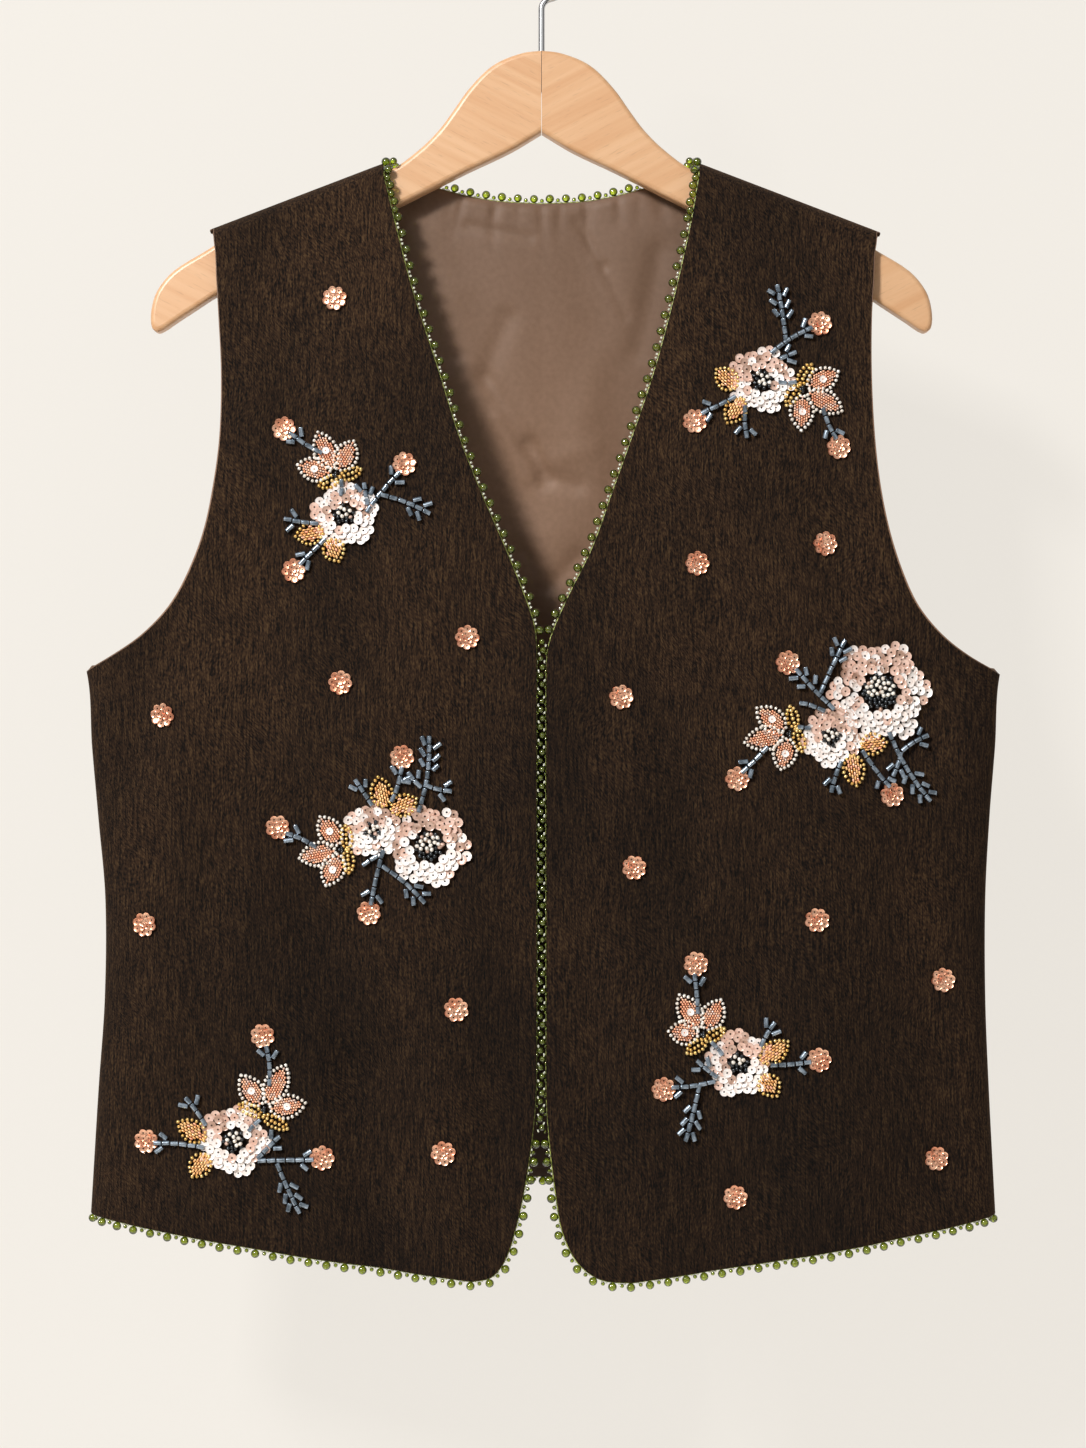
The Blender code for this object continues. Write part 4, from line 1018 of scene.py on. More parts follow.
# %% Creases of the lining
LINING_SHARE = 0.9
SPARE = 1.9
LINING_FOLDS = (
    Fold(BACK, -42, 165, -7, 172, 3.2, -1.0),
    Fold(BACK, 20, 163, 36, 188, 2.6, -0.9),
    Fold(BACK, 36, 188, 48, 216, 3.0, -0.8),
    Fold(BACK, -68, 188, -52, 238, 7, -1.7),
    Fold(BACK, -19, 217, -32, 250, 6, -1.2),
    Fold(BACK, -32, 250, -7, 288, 5.5, -1.3),
    Fold(BACK, -7, 288, 3, 307, 4.5, -1.9),
    Fold(BACK, 3, 307, 20, 311, 5.5, -1.3),
    Fold(BACK, 10, 296, 30, 290, 6, 0.7),
    Fold(BACK, -24, 274, -8, 304, 6, 1.0),
    Fold(BACK, -9, 348, 5, 368, 4.5, -1.1),
    Fold(BACK, 5, 368, 22, 350, 5, -1.0),
    Fold(BACK, 66, 180, 54, 236, 7, -1.3),
    Fold(BACK, 0, 196, 8, 266, 26, 1.3),
    Fold(BACK, -46, 205, -38, 262, 13, 0.9),
    Fold(BACK, 34, 238, 22, 280, 10, 0.8),
    Fold(BACK, -90, 300, -60, 430, 16, 1.4),
    Fold(BACK, 92, 300, 66, 430, 16, 1.4),
    Fold(BACK, -160, 440, -60, 560, 16, 1.6),
    Fold(BACK, 165, 440, 50, 570, 16, 1.6),
    Fold(BACK, -20, 430, -34, 690, 20, 1.5),
    Fold(BACK, 84, 560, 92, 690, 15, 1.2),
    Fold(BACK, -116, 560, -128, 690, 15, 1.2),
)
PUCKERS = 15
PUCKERED_OUT = 72
PUCKER_WIDTH = 1.9
PUCKER_DEPTH = 1.1
PUCKER_LENGTH = 21.0
# The drop of the neck edge at its ends, how much lower its middle is, and its half width
NECK_END_DROP = 140
NECK_DIP = 14
NECK_HALF_WIDTH = 76


def jitter(most):
    """A small random amount, up to this much either way."""
    return chance.uniform(-most, most)


def pucker_folds():
    """Short creases that fan out down from the back neck edge."""
    found = []
    for number in range(PUCKERS):
        x = -PUCKERED_OUT + 2 * PUCKERED_OUT * number / (PUCKERS - 1) + jitter(4)
        top = NECK_END_DROP + NECK_DIP * (1 - (x / NECK_HALF_WIDTH) ** 2)
        length = PUCKER_LENGTH * chance.uniform(0.5, 1.6)
        depth = PUCKER_DEPTH * chance.uniform(0.4, 1.3)
        foot_x = x * 1.06 + jitter(5)
        found.append(Fold(BACK, x, top, foot_x, top + length, PUCKER_WIDTH, -depth))
    return tuple(found)


# %% A finer grid where the lining shows
SHOWN_OUT = 92.0
SHOWN_DROP = 400.0
FINE_ROW = 1.8
FINE_COLUMN = 1.6
COARSE_STEP = 4.5
BELOW_NECK = 1.2
NECK_ROWS = 9


def spaced(values, limit, fine):
    """Fractional places along a rising list, a fine step apart up to the limit."""
    wanted = [values[0]]
    while wanted[-1] < values[-1] - fine:
        step = fine if abs(wanted[-1]) < limit else COARSE_STEP
        wanted.append(min(wanted[-1] + step, values[-1]))
    wanted[-1] = values[-1]
    return np.interp(wanted, values, np.arange(len(values)))


def read_grid(grid, rows, columns):
    """A grid of points read at fractional rows and columns, on smooth curves."""
    for axis, at in ((0, rows), (1, columns)):
        lines = np.moveaxis(grid, axis, 0)
        table = np.column_stack([np.arange(len(lines)), lines.reshape(len(lines), -1)])
        grid = np.moveaxis(smooth(table, at).reshape(len(at), *lines.shape[1:]), 0, axis)
    return grid


def units(vectors):
    return vectors / np.linalg.norm(vectors, axis=-1, keepdims=True)


def back_place(x, along):
    """Points on the outside of the back, from signed places across it."""
    left = cloth_surface(1, BACK, np.abs(x), along)
    right = cloth_surface(-1, BACK, np.abs(x), along)
    return np.where((x > 0)[..., None], left, right)


def back_normal(x, along, step=0.5):
    """The way out of the back, from the slope between places a step to each side."""
    over = back_place(x + step, along) - back_place(x - step, along)
    down = back_place(x, along + step) - back_place(x, along - step)
    return units(np.cross(over, down) * BACK)


# %% The lining's plan
def lining_half(name, side):
    """Signed places across half the back and along it, from under the neck edge down."""
    out, along = back_half(side, name)
    neck_out = out[0]
    neck_along = np.maximum(along[0] + BELOW_NECK, ARCH_LENGTH + BELOW_NECK)
    first = len(BACK_ARCH) - 1
    kept = (BACK_PLACES >= first) & (BACK_PLACES <= first + len(BACK_ROWS) - 1)
    out, along = out[kept], along[kept]
    share = (np.arange(NECK_ROWS) / NECK_ROWS)[:, None]
    neck_out = np.minimum(neck_out, out[0])
    neck_along = np.minimum(neck_along, along[0] - BELOW_NECK)
    out = np.concatenate([neck_out + share * (out[0] - neck_out), out])
    along = np.concatenate([neck_along + share * (along[0] - neck_along), along])
    return np.stack([side * out, along], -1)


def lining_plan():
    """The whole lining's places, on a finer grid where it shows, and its rows' numbers."""
    right, left = (lining_half(*item) for item in SIDES.items())
    plan = np.concatenate([right[:, :0:-1], left], axis=1)
    shares = np.concatenate([ACROSS[:0:-1], ACROSS])
    plan = plan[:, shares <= LINING_SHARE + 1e-6]
    centre_along = plan[:, plan.shape[1] // 2, 1]
    centre_drop = ridge_drop(0) + centre_along - ARCH_LENGTH + ARCH_RISE
    rows = spaced(centre_drop, SHOWN_DROP, FINE_ROW)
    columns = spaced(plan[len(plan) // 3, :, 0], SHOWN_OUT, FINE_COLUMN)
    return read_grid(plan, rows, columns), rows


# %% Make the lining
TIGHT_TO = 20.0
LOOSE_OVER = 25.0
RIPPLE = 0.3
RIPPLE_OUT = 13.0
RIPPLE_DROP = 41.0
# The share of the spare length at the neck edge, and the rows over which it grows
EDGE_SHARE = 0.3
EDGE_ROWS = 1.5
plan, plan_rows = lining_plan()
across, along = plan[..., 0], plan[..., 1]
surface = back_place(across, along)
normal = back_normal(across, along)
x, drop = surface[..., 0] / MM, -surface[..., 2] / MM
loose = SPARE + RIPPLE * np.sin(x / RIPPLE_OUT + drop / RIPPLE_DROP)
loose = loose + fold_height(LINING_FOLDS, BACK, x, drop)
loose += fold_height(pucker_folds(), BACK, x, drop, fading=1.0)
loose *= np.clip((along - TIGHT_TO) / LOOSE_OVER, 0, 1)
edge_fade = np.clip(EDGE_SHARE + plan_rows / EDGE_ROWS, 0, 1)[:, None]
lifted = np.clip(loose, 0, None) * edge_fade
backing = surface - normal * (WALL + SEAM_GAP) * MM
lining_out = backing - normal * (lifted * MM)[..., None]
lining_in = lining_out - normal * LINING_WALL * MM
lining = wall_object("back_lining_satin", lining_out, lining_in, (TAUPE_SATIN,),
                     round_off=LINING_WALL * 0.35)
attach(lining, ROOT)
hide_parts("back_lining")
print(lining.name, lining_out.shape[:2], "points, lifted up to", lifted.max().round(2), "mm")

# %% [markdown]
# ## Small shapes, sewn on by the hundred
#
# Beads and sequins are the same few shapes over and over. Each shape is made once as a
# short list of points and faces, and a heap sets down copies: at a place, turned to the
# cloth's normal, in one of the heap's materials. All the copies of one sewn group become
# one mesh, as they are one piece of work on the real garment. Instances would be lighter,
# but a single mesh is what a maker can also cut, print or measure.


# %% Turned shapes
def turned_shape(profile, sides, body_shade=False):
    """Points and faces of a shape turned about Z, from (radius, height) pairs."""
    angles = 2 * math.pi * np.arange(sides) / sides
    points = [(r * math.cos(a), r * math.sin(a), h) for r, h in profile for a in angles]
    faces = []
    rings = len(profile)
    for ring in range(rings if body_shade else rings - 1):
        low, high = ring * sides, (ring + 1) % rings * sides
        for side in range(sides):
            after = (side + 1) % sides
            faces.append((low + side, low + after, high + after, high + side))
    if not body_shade:
        faces.append(tuple(range(sides))[::-1])
        faces.append(tuple(range((rings - 1) * sides, rings * sides)))
    return np.array(points), faces


def round_bead(sides, rings, hole):
    """A ball with a small flat at each end of its thread hole, of radius 1."""
    low = math.asin(hole)
    angles = [low + (math.pi - 2 * low) * n / (rings - 1) for n in range(rings)]
    return turned_shape([(math.sin(a), -math.cos(a)) for a in angles], sides)


BIG_BEAD = round_bead(sides=16, rings=10, hole=0.2)
SEED_BEAD = round_bead(sides=8, rings=5, hole=0.35)
# A tube with softened ends, as long as it is wide until it is stretched
BUGLE_END = ((0.5, 1.0), (0.88, 1.0), (0.99, 0.95), (1.0, 0.85))
BUGLE_LINE = (*((radius, -height) for radius, height in BUGLE_END), *reversed(BUGLE_END))
BUGLE_BEAD = turned_shape(BUGLE_LINE, sides=8)
# A shallow cup with a hole, of radius 1: down the outside, then back up the inside
SEQUIN_OUTSIDE = ((0.2, 0.0), (0.6, 0.01), (0.88, 0.07), (1.0, 0.17))
SEQUIN_INSIDE = ((1.0, 0.22), (0.88, 0.13), (0.6, 0.07), (0.2, 0.06))
SEQUIN = turned_shape(SEQUIN_OUTSIDE + SEQUIN_INSIDE, sides=12, body_shade=True)
shapes = {"bead": BIG_BEAD, "seed": SEED_BEAD, "bugle": BUGLE_BEAD, "sequin": SEQUIN}
print("points:", {name: len(points) for name, (points, faces) in shapes.items()})


# %% A heap of them
def unit(vector):
    return vector / np.linalg.norm(vector)


class Heap:
    """Copies of small shapes, which become one mesh."""

    def __init__(self, materials):
        self.materials = materials
        self.points = []
        self.faces = []
        self.marks = []
        self.count = 0

    def add(self, shape, centre, up, along, size, material):
        """Size is half the width in mm, or three of them. Up is the shape's Z."""
        points, faces = shape
        up = unit(np.asarray(up, float))
        along = np.asarray(along, float)
        along = unit(along - up * (along @ up))
        basis = np.stack([along, np.cross(up, along), up])
        self.take(np.asarray(centre) + (points * size * MM) @ basis, faces, material)

    def take(self, points, faces, material):
        self.points.append(points)
        self.faces += [tuple(i + self.count for i in face) for face in faces]
        self.marks += [self.materials.index(material)] * len(faces)
        self.count += len(points)

    def make(self, name, node, slot):
        """The one object, which stands for this solid."""
        mesh = bpy.data.meshes.new(name)
        mesh.from_pydata(np.concatenate(self.points).tolist(), [], self.faces)
        mesh.polygons.foreach_set("material_index", np.array(self.marks, np.int32))
        for material in self.materials:
            mesh.materials.append(material)
        mesh.shade_smooth()
        mesh.set_sharp_from_angle(angle=math.radians(50))
        obj = bpy.data.objects.new(name, mesh)
        scene.collection.objects.link(obj)
        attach(obj, ROOT)
        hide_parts(node)
        print(name, len(mesh.polygons), "faces")
        return obj


# %% [markdown]
# ## Glass beads along the edges
#
# The edging is worked by hand: a pressed green glass bead, then a few small seed beads,
# and so on round the neck, down both front edges and round the hems. Pressed glass is a
# clear dielectric with an IOR of 1.5. Light goes through it, so a bead shows the pale
# room upside down on the hem, and is dark green with one bright spot against the cloth.
# Near its rim light takes the longer way round through the glass, so Layer Weight makes
# the glass deeper there. This gives each bead its dark ring.


# %% Green glass, seed glass and the edge cord
RIM = (0.1, 0.5)
SWIRL_SHADE = 0.8


def glass(name, code, rim_code, roughness, clearness):
    """Glass with a slow swirl of a darker tone, and deeper near the rim of each bead."""
    material, tree, shader, place = new_material(name)
    swirl = mottle(tree, place, 3.0, detail=1.0)
    darker = (*[value * SWIRL_SHADE for value in linear(code)], 1)
    body = blend(tree, swirl, (0.4, darker), (0.6, rgba(code)))
    edge_on = put(tree, "ShaderNodeLayerWeight", {"Blend": 0.5}).outputs["Facing"]
    near_rim = ranged(tree, edge_on, RIM, (0.0, 1.0), "SMOOTHSTEP")
    inputs = {"Fac": near_rim, "Color1": body, "Color2": rgba(rim_code)}
    deeper = put(tree, "ShaderNodeMixRGB", inputs).outputs["Color"]
    feed(tree, shader, {
        "Base Color": deeper,
        "Transmission Weight": clearness,
        "Roughness": roughness,
        "IOR": 1.5,
        "Coat Weight": 0.8,
        "Coat Roughness": 0.06,
    })
    return material


GREEN_GLASS = glass("green_pressed_glass", "9aaa24", "2c3c0c", roughness=0.03, clearness=0.78)
SEED_GLASS = glass("pale_seed_glass", "f4f4e2", "d4d6bc", roughness=0.08, clearness=0.3)


def rayon_cord():
    """A twisted rayon thread: shiny, with a slanting lay about a millimetre long."""
    material, tree, shader, place = new_material("green_rayon_cord")
    inputs = {"Vector": place, "Scale": per_mm(1.0) / 6, "Distortion": 1.5}
    lay = put(tree, "ShaderNodeTexWave", inputs, bands_direction="DIAGONAL").outputs["Fac"]
    thread = blend(tree, lay, (0.0, rgba("626a28")), (1.0, rgba("a6ac52")))
    feed(tree, shader, {"Base Color": thread, "Roughness": 0.4, "Sheen Weight": 0.3})
    emboss(tree, shader, lay, strength=0.4, most=0.2)
    return material


RAYON_CORD = rayon_cord()
EDGING = (GREEN_GLASS, SEED_GLASS, RAYON_CORD)

# %% Rails: the line of an edge, the way off it and the cloth's normal
Rail = namedtuple("Rail", "place away normal")


def edge_rail(wall_faces, edge, near):
    """Along an edge of a wall: its middle, the way off the cloth and the normal.

    The wall's faces are grids, edge picks the edge's points and near the next ones in."""
    outside, inside = wall_faces
    place = (outside[edge] + inside[edge]) / 2
    normal = units(outside[edge] - inside[edge])
    course = units(np.gradient(place, axis=0))
    away = place - (outside[near] + inside[near]) / 2
    away -= (away * course).sum(1, keepdims=True) * course
    away -= (away * normal).sum(1, keepdims=True) * normal
    return Rail(place, units(away), normal)


def read_rows(at, keys, rows):
    """Rows of numbers, read between their keys on straight lines."""
    return np.stack([np.interp(at, keys, column) for column in np.transpose(rows)], -1)


def read_rail(rail, at):
    """The place, way off and normal at these distances along a rail."""
    lengths = lengths_along(rail.place)
    place, away, normal = (read_rows(at, lengths, part) for part in rail)
    return Rail(place, units(away), units(normal))


def cut_rail(rail, top, foot):
    """The stretch of a rail between two drops in millimetres."""
    drop = -rail.place[:, 2] / MM
    lengths = lengths_along(rail.place)
    start, end = np.interp((top, foot), np.maximum.accumulate(drop), lengths)
    middle = lengths[(drop >= top) & (drop <= foot)]
    middle = middle[(middle > start) & (middle < end)]
    return read_rail(rail, np.concatenate([[start], middle, [end]]))


def join_rails(first, second):
    return Rail(*(np.concatenate([a, b[1:]]) for a, b in zip(first, second)))


# %% Beads, picots and cord along a rail
BEAD_RADIUS = 2.5
BEAD_PITCH = 9.3
HEM_PITCH = 10.0
BETWEEN_RADIUS = 2.2
BETWEEN_OFF = 1.9
BETWEEN_BEHIND = 0.6
CORD_RADIUS = 0.42
CORD_SIDES = 8
CORD_PROUD = 0.15
CORD_STEP = 1.6

Picot = namedtuple("Picot", "off along wide long lean glass")
# Seed beads between two big ones: how far off the edge and along it, half width, half
# length, and how far the thread leans off the edge
NECK_PICOT = (
    Picot(1.3, -1.2, 0.85, 0.8, 0.1, SEED_GLASS),
    Picot(1.3, 1.1, 0.8, 0.8, 0.1, SEED_GLASS),
)
HEM_PICOT = (
    Picot(0.8, -1.5, 0.55, 0.8, 0.1, SEED_GLASS),
    Picot(0.8, 1.5, 0.55, 0.8, 0.1, SEED_GLASS),
    Picot(1.9, 0.0, 1.25, 1.15, 0.2, GREEN_GLASS),
)


def lay_cord(heap, rail, cord_radius=CORD_RADIUS):
    """A tube along the edge, half sunk in the cloth's turned edge."""
    whole = lengths_along(rail.place)[-1]
    stations = max(2, round(whole / (CORD_STEP * MM)) + 1)
    line = read_rail(rail, np.linspace(0, whole, stations))
    centre = line.place + line.away * CORD_PROUD * MM
    rings = []
    for side in range(CORD_SIDES):
        angle = 2 * math.pi * side / CORD_SIDES
        way = line.away * math.cos(angle) + line.normal * math.sin(angle)
        rings.append(centre + way * cord_radius * MM)
    faces = []
    for ring in range(stations - 1):
        low, high = ring * CORD_SIDES, (ring + 1) * CORD_SIDES
        for side in range(CORD_SIDES):
            after = (side + 1) % CORD_SIDES
            faces.append((low + side, high + side, high + after, low + after))
    last = (stations - 1) * CORD_SIDES
    faces.append(tuple(range(CORD_SIDES)))
    faces.append(tuple(last + i for i in reversed(range(CORD_SIDES))))
    heap.take(np.stack(rings, axis=1).reshape(-1, 3), faces, RAYON_CORD)


def lay_beads(heap, rail, picot, pitch=BEAD_PITCH, closer=0):
    """Big beads at an even pitch, with a picot after each.

    The first few can be closer, with one more bead in place of each picot."""
    whole = lengths_along(rail.place)[-1]
    count = round(whole / (pitch * MM))
    step = whole / count
    spots = read_rail(rail, (np.arange(count) + 0.5) * step)
    gaps = read_rail(rail, np.arange(1, count + 1) * step)
    for number in range(count):
        place, away, normal = (part[number] for part in spots)
        off = BEAD_RADIUS + SEAM_GAP + chance.uniform(-0.15, 0.1)
        thread = np.cross(normal, away) + away * jitter(0.4) + normal * jitter(0.3)
        size = BEAD_RADIUS * chance.uniform(0.94, 1.0)
        heap.add(BIG_BEAD, place + away * off * MM, thread, away, size, GREEN_GLASS)
        if number == count - 1:
            continue
        place, away, normal = (part[number] for part in gaps)
        course = np.cross(normal, away)
        turn = chance.choice((-1, 1))
        if number < closer:
            centre = place + (away * BETWEEN_OFF - normal * BETWEEN_BEHIND) * MM
            heap.add(BIG_BEAD, centre, course, away, BETWEEN_RADIUS, GREEN_GLASS)
            continue
        for seed in picot:
            off = away * seed.off + course * seed.along * turn + normal * jitter(0.3)
            lean = away * seed.lean + course * turn * (1 - seed.lean) + normal * jitter(0.2)
            size = (seed.wide, seed.wide, seed.long)
            heap.add(SEED_BEAD, place + off * MM, lean, normal, size, seed.glass)


# How far in from the neck point, above it and before it, and the radius
CLUSTER = ((1.2, 2.6, -1.4, 2.6), (5.6, 2.4, 2.4, 2.1), (2.2, -2.6, 3.2, 2.4))


def lay_cluster(heap, end, side):
    """Three beads close together where the neck edging starts, over the shoulder seam."""
    for inward, above, before, radius in CLUSTER:
        centre = end.place[0] + np.array([-side * inward, -before, above]) * MM
        heap.add(BIG_BEAD, centre, (side, 0.3, 0.5), (0, 1, 0), radius, GREEN_GLASS)


def sewn_edge(rail, picot, pitch=BEAD_PITCH, closer=0):
    """A heap with one edge's cord and beads."""
    heap = Heap(EDGING)
    lay_cord(heap, rail)
    lay_beads(heap, rail, picot, pitch, closer)
    return heap


# %% Edging of the fronts
NECK_BEADS_END = 400.0
CLOSER_AT_TOP = 3
HEM_BEADS_START = 673.0
PAST_HEM = 1000.0
FIRST_COLUMN, NEXT_COLUMN = np.s_[:, 0], np.s_[:, 1]
rails = {}
for name, side in SIDES.items():
    rail = rails[name] = edge_rail(grids[name], FIRST_COLUMN, NEXT_COLUMN)
    neck = cut_rail(rail, -rail.place[0, 2] / MM, NECK_BEADS_END)
    heap = sewn_edge(neck, NECK_PICOT, closer=CLOSER_AT_TOP)
    lay_cluster(heap, read_rail(neck, np.array([0.0])), side)
    heap.make(f"neck_edging_{name}", f"neck_beads_{name}", "green_glass_beads")
    curve = cut_rail(rail, HEM_BEADS_START, PAST_HEM)
    hem = join_rails(curve, edge_rail(grids[name], -1, -2))
    heap = sewn_edge(hem, HEM_PICOT, HEM_PITCH)
    heap.make(f"hem_edging_{name}", f"hem_beads_{name}", "green_glass_beads")

# %% Edging of the back
neck = edge_rail(grids["back"], 0, 1)
on_neck = np.abs(neck.place[:, 0]) <= (NECK_POINT_OUT + 0.2) * MM
neck = Rail(*(part[on_neck] for part in neck))
sewn_edge(neck, HEM_PICOT).make("neck_edging_back", "neck_beads_back", "green_glass_beads")
heap = sewn_edge(edge_rail(grids["back"], -1, -2), HEM_PICOT, HEM_PITCH)
heap.make("hem_edging_back", "hem_beads_back", "green_glass_beads")

# %% The two front edges, where their beads mesh
CENTRE_BEADS_START = 399.0
CENTRE_BEADS_END = 671.5
CENTRE_BEAD_RADIUS = 1.95
CENTRE_CORD_RADIUS = 0.22
CENTRE_STATIONS = 120
# The two seed beads of each bead: how far out, before and below it they are
PALE_SEED_OUT = 2.1
GREEN_SEED_OUT = 1.7
SEED_BEFORE = 0.9
SEED_BELOW = 2.2
CENTRE_SEED_SIZE = (0.6, 0.6, 0.95)
drops = np.linspace(CENTRE_BEADS_START, CENTRE_BEADS_END, CENTRE_STATIONS)
edges = [read_rows(drops, -rail.place[:, 2] / MM, rail.place) for rail in rails.values()]
middle = (edges[0] + edges[1]) / 2
heap = Heap(EDGING)
for rail in rails.values():
    lay_cord(heap, cut_rail(rail, NECK_BEADS_END, HEM_BEADS_START), CENTRE_CORD_RADIUS)
count = 2 * round(float(lengths_along(middle)[-1]) / (BEAD_PITCH * MM))
for number in range(count):
    share = (number + 0.5) / count * (CENTRE_STATIONS - 1)
    place = read_rows(share, np.arange(CENTRE_STATIONS), middle)
    turn = 1 if number % 2 else -1
    off = np.array([turn * chance.uniform(0.3, 0.7), chance.uniform(-1.3, -0.7), 0])
    place = place + off * MM
    thread = (jitter(0.5), jitter(0.3), 1)
    size = CENTRE_BEAD_RADIUS * chance.uniform(0.82, 1.0)
    heap.add(BIG_BEAD, place, thread, (1, 0, 0), size, GREEN_GLASS)
    seeds = ((-turn, PALE_SEED_OUT, SEED_GLASS), (turn, GREEN_SEED_OUT, GREEN_GLASS))
    for way, out, seed_glass in seeds:
        seed = place + np.array([way * out, -SEED_BEFORE, -SEED_BELOW + jitter(0.6)]) * MM
        lean = (way * chance.uniform(0.0, 0.6), -0.2, 1)
        heap.add(SEED_BEAD, seed, lean, (1, 0, 0), CENTRE_SEED_SIZE, seed_glass)
heap.make("centre_front_edging", "centre_front_beads", "green_glass_beads")

# %% [markdown]
# ## Sequins, seed beads and bugles
#
# A sequin is punched from polyester film. The flowers' sequins have a pearl coating,
# which is neither matt nor a mirror, so they get a little metal and a clear coat. The
# copper ones are vacuum metallised, and a metal takes its colour from its own
# reflection, so metallic is 1 there. Seed beads and bugles are glass with a metal
# finish: silver, gold, gunmetal and steel blue. Each has small differences from bead to
# bead, as real ones come from mixed lots.


# %% Film and metallised glass
def bright_work(name, codes, metallic, roughness, coat, patch=3.2):
    """A shiny finish that drifts between two colours over a few millimetres."""
    material, tree, shader, place = new_material(name)
    light, dark = codes
    drift = mottle(tree, place, patch, detail=1.0)
    colour = blend(tree, drift, (0.38, rgba(light)), (0.62, rgba(dark)))
    feed(tree, shader, {
        "Base Color": colour,
        "Metallic": metallic,
        "Roughness": roughness,
        "Coat Weight": coat,
        "Coat Roughness": 0.08,
    })
    return material


PEARL = bright_work("pearl_film", ("fffaf7", "f6e8e0"), 0.0, 0.25, 0.6)
BLUSH = bright_work("blush_film", ("efcdbd", "dfb6a2"), 0.1, 0.25, 0.6)
ROSE = bright_work("rose_taupe_film", ("d5b3a2", "b7937f"), 0.2, 0.28, 0.6)
COPPER = bright_work("copper_film", ("f4bf9f", "de9472"), 0.75, 0.3, 0.4, 8.0)
SILVER = bright_work("silver_seed_glass", ("fbf5ec", "e2d7ca"), 0.2, 0.22, 0.6)
ROSE_GOLD = bright_work("rose_gold_seed_glass", ("ffc7a4", "ef9f78"), 0.15, 0.24, 0.6)
AMBER = bright_work("amber_gold_seed_glass", ("ffcc8c", "e8a45e"), 0.15, 0.24, 0.6)
GOLD = bright_work("gold_seed_glass", ("f3d38c", "d9a957"), 0.6, 0.28, 0.4)
GUNMETAL = bright_work("gunmetal_seed_glass", ("2c3238", "121417"), 0.6, 0.18, 0.8)
STEEL_BLUE = bright_work("steel_blue_bugle", ("94a2b0", "5d6a76"), 0.5, 0.22, 0.8)
SEWN = (PEARL, BLUSH, ROSE, COPPER, SILVER, ROSE_GOLD, AMBER, GOLD, GUNMETAL, STEEL_BLUE)
print("finishes:", [material.name for material in SEWN])

# %% [markdown]
# ## Laying the work on the cloth
#
# The sprays are planned flat, in millimetres from the middle of each main flower, as on
# an embroiderer's card. A ray from straight in front then finds the cloth under every
# bead, so the work follows each fold. Heights are kept as low as the real stitching:
# a flower stands about 3.5 mm high, a twig 2 mm.

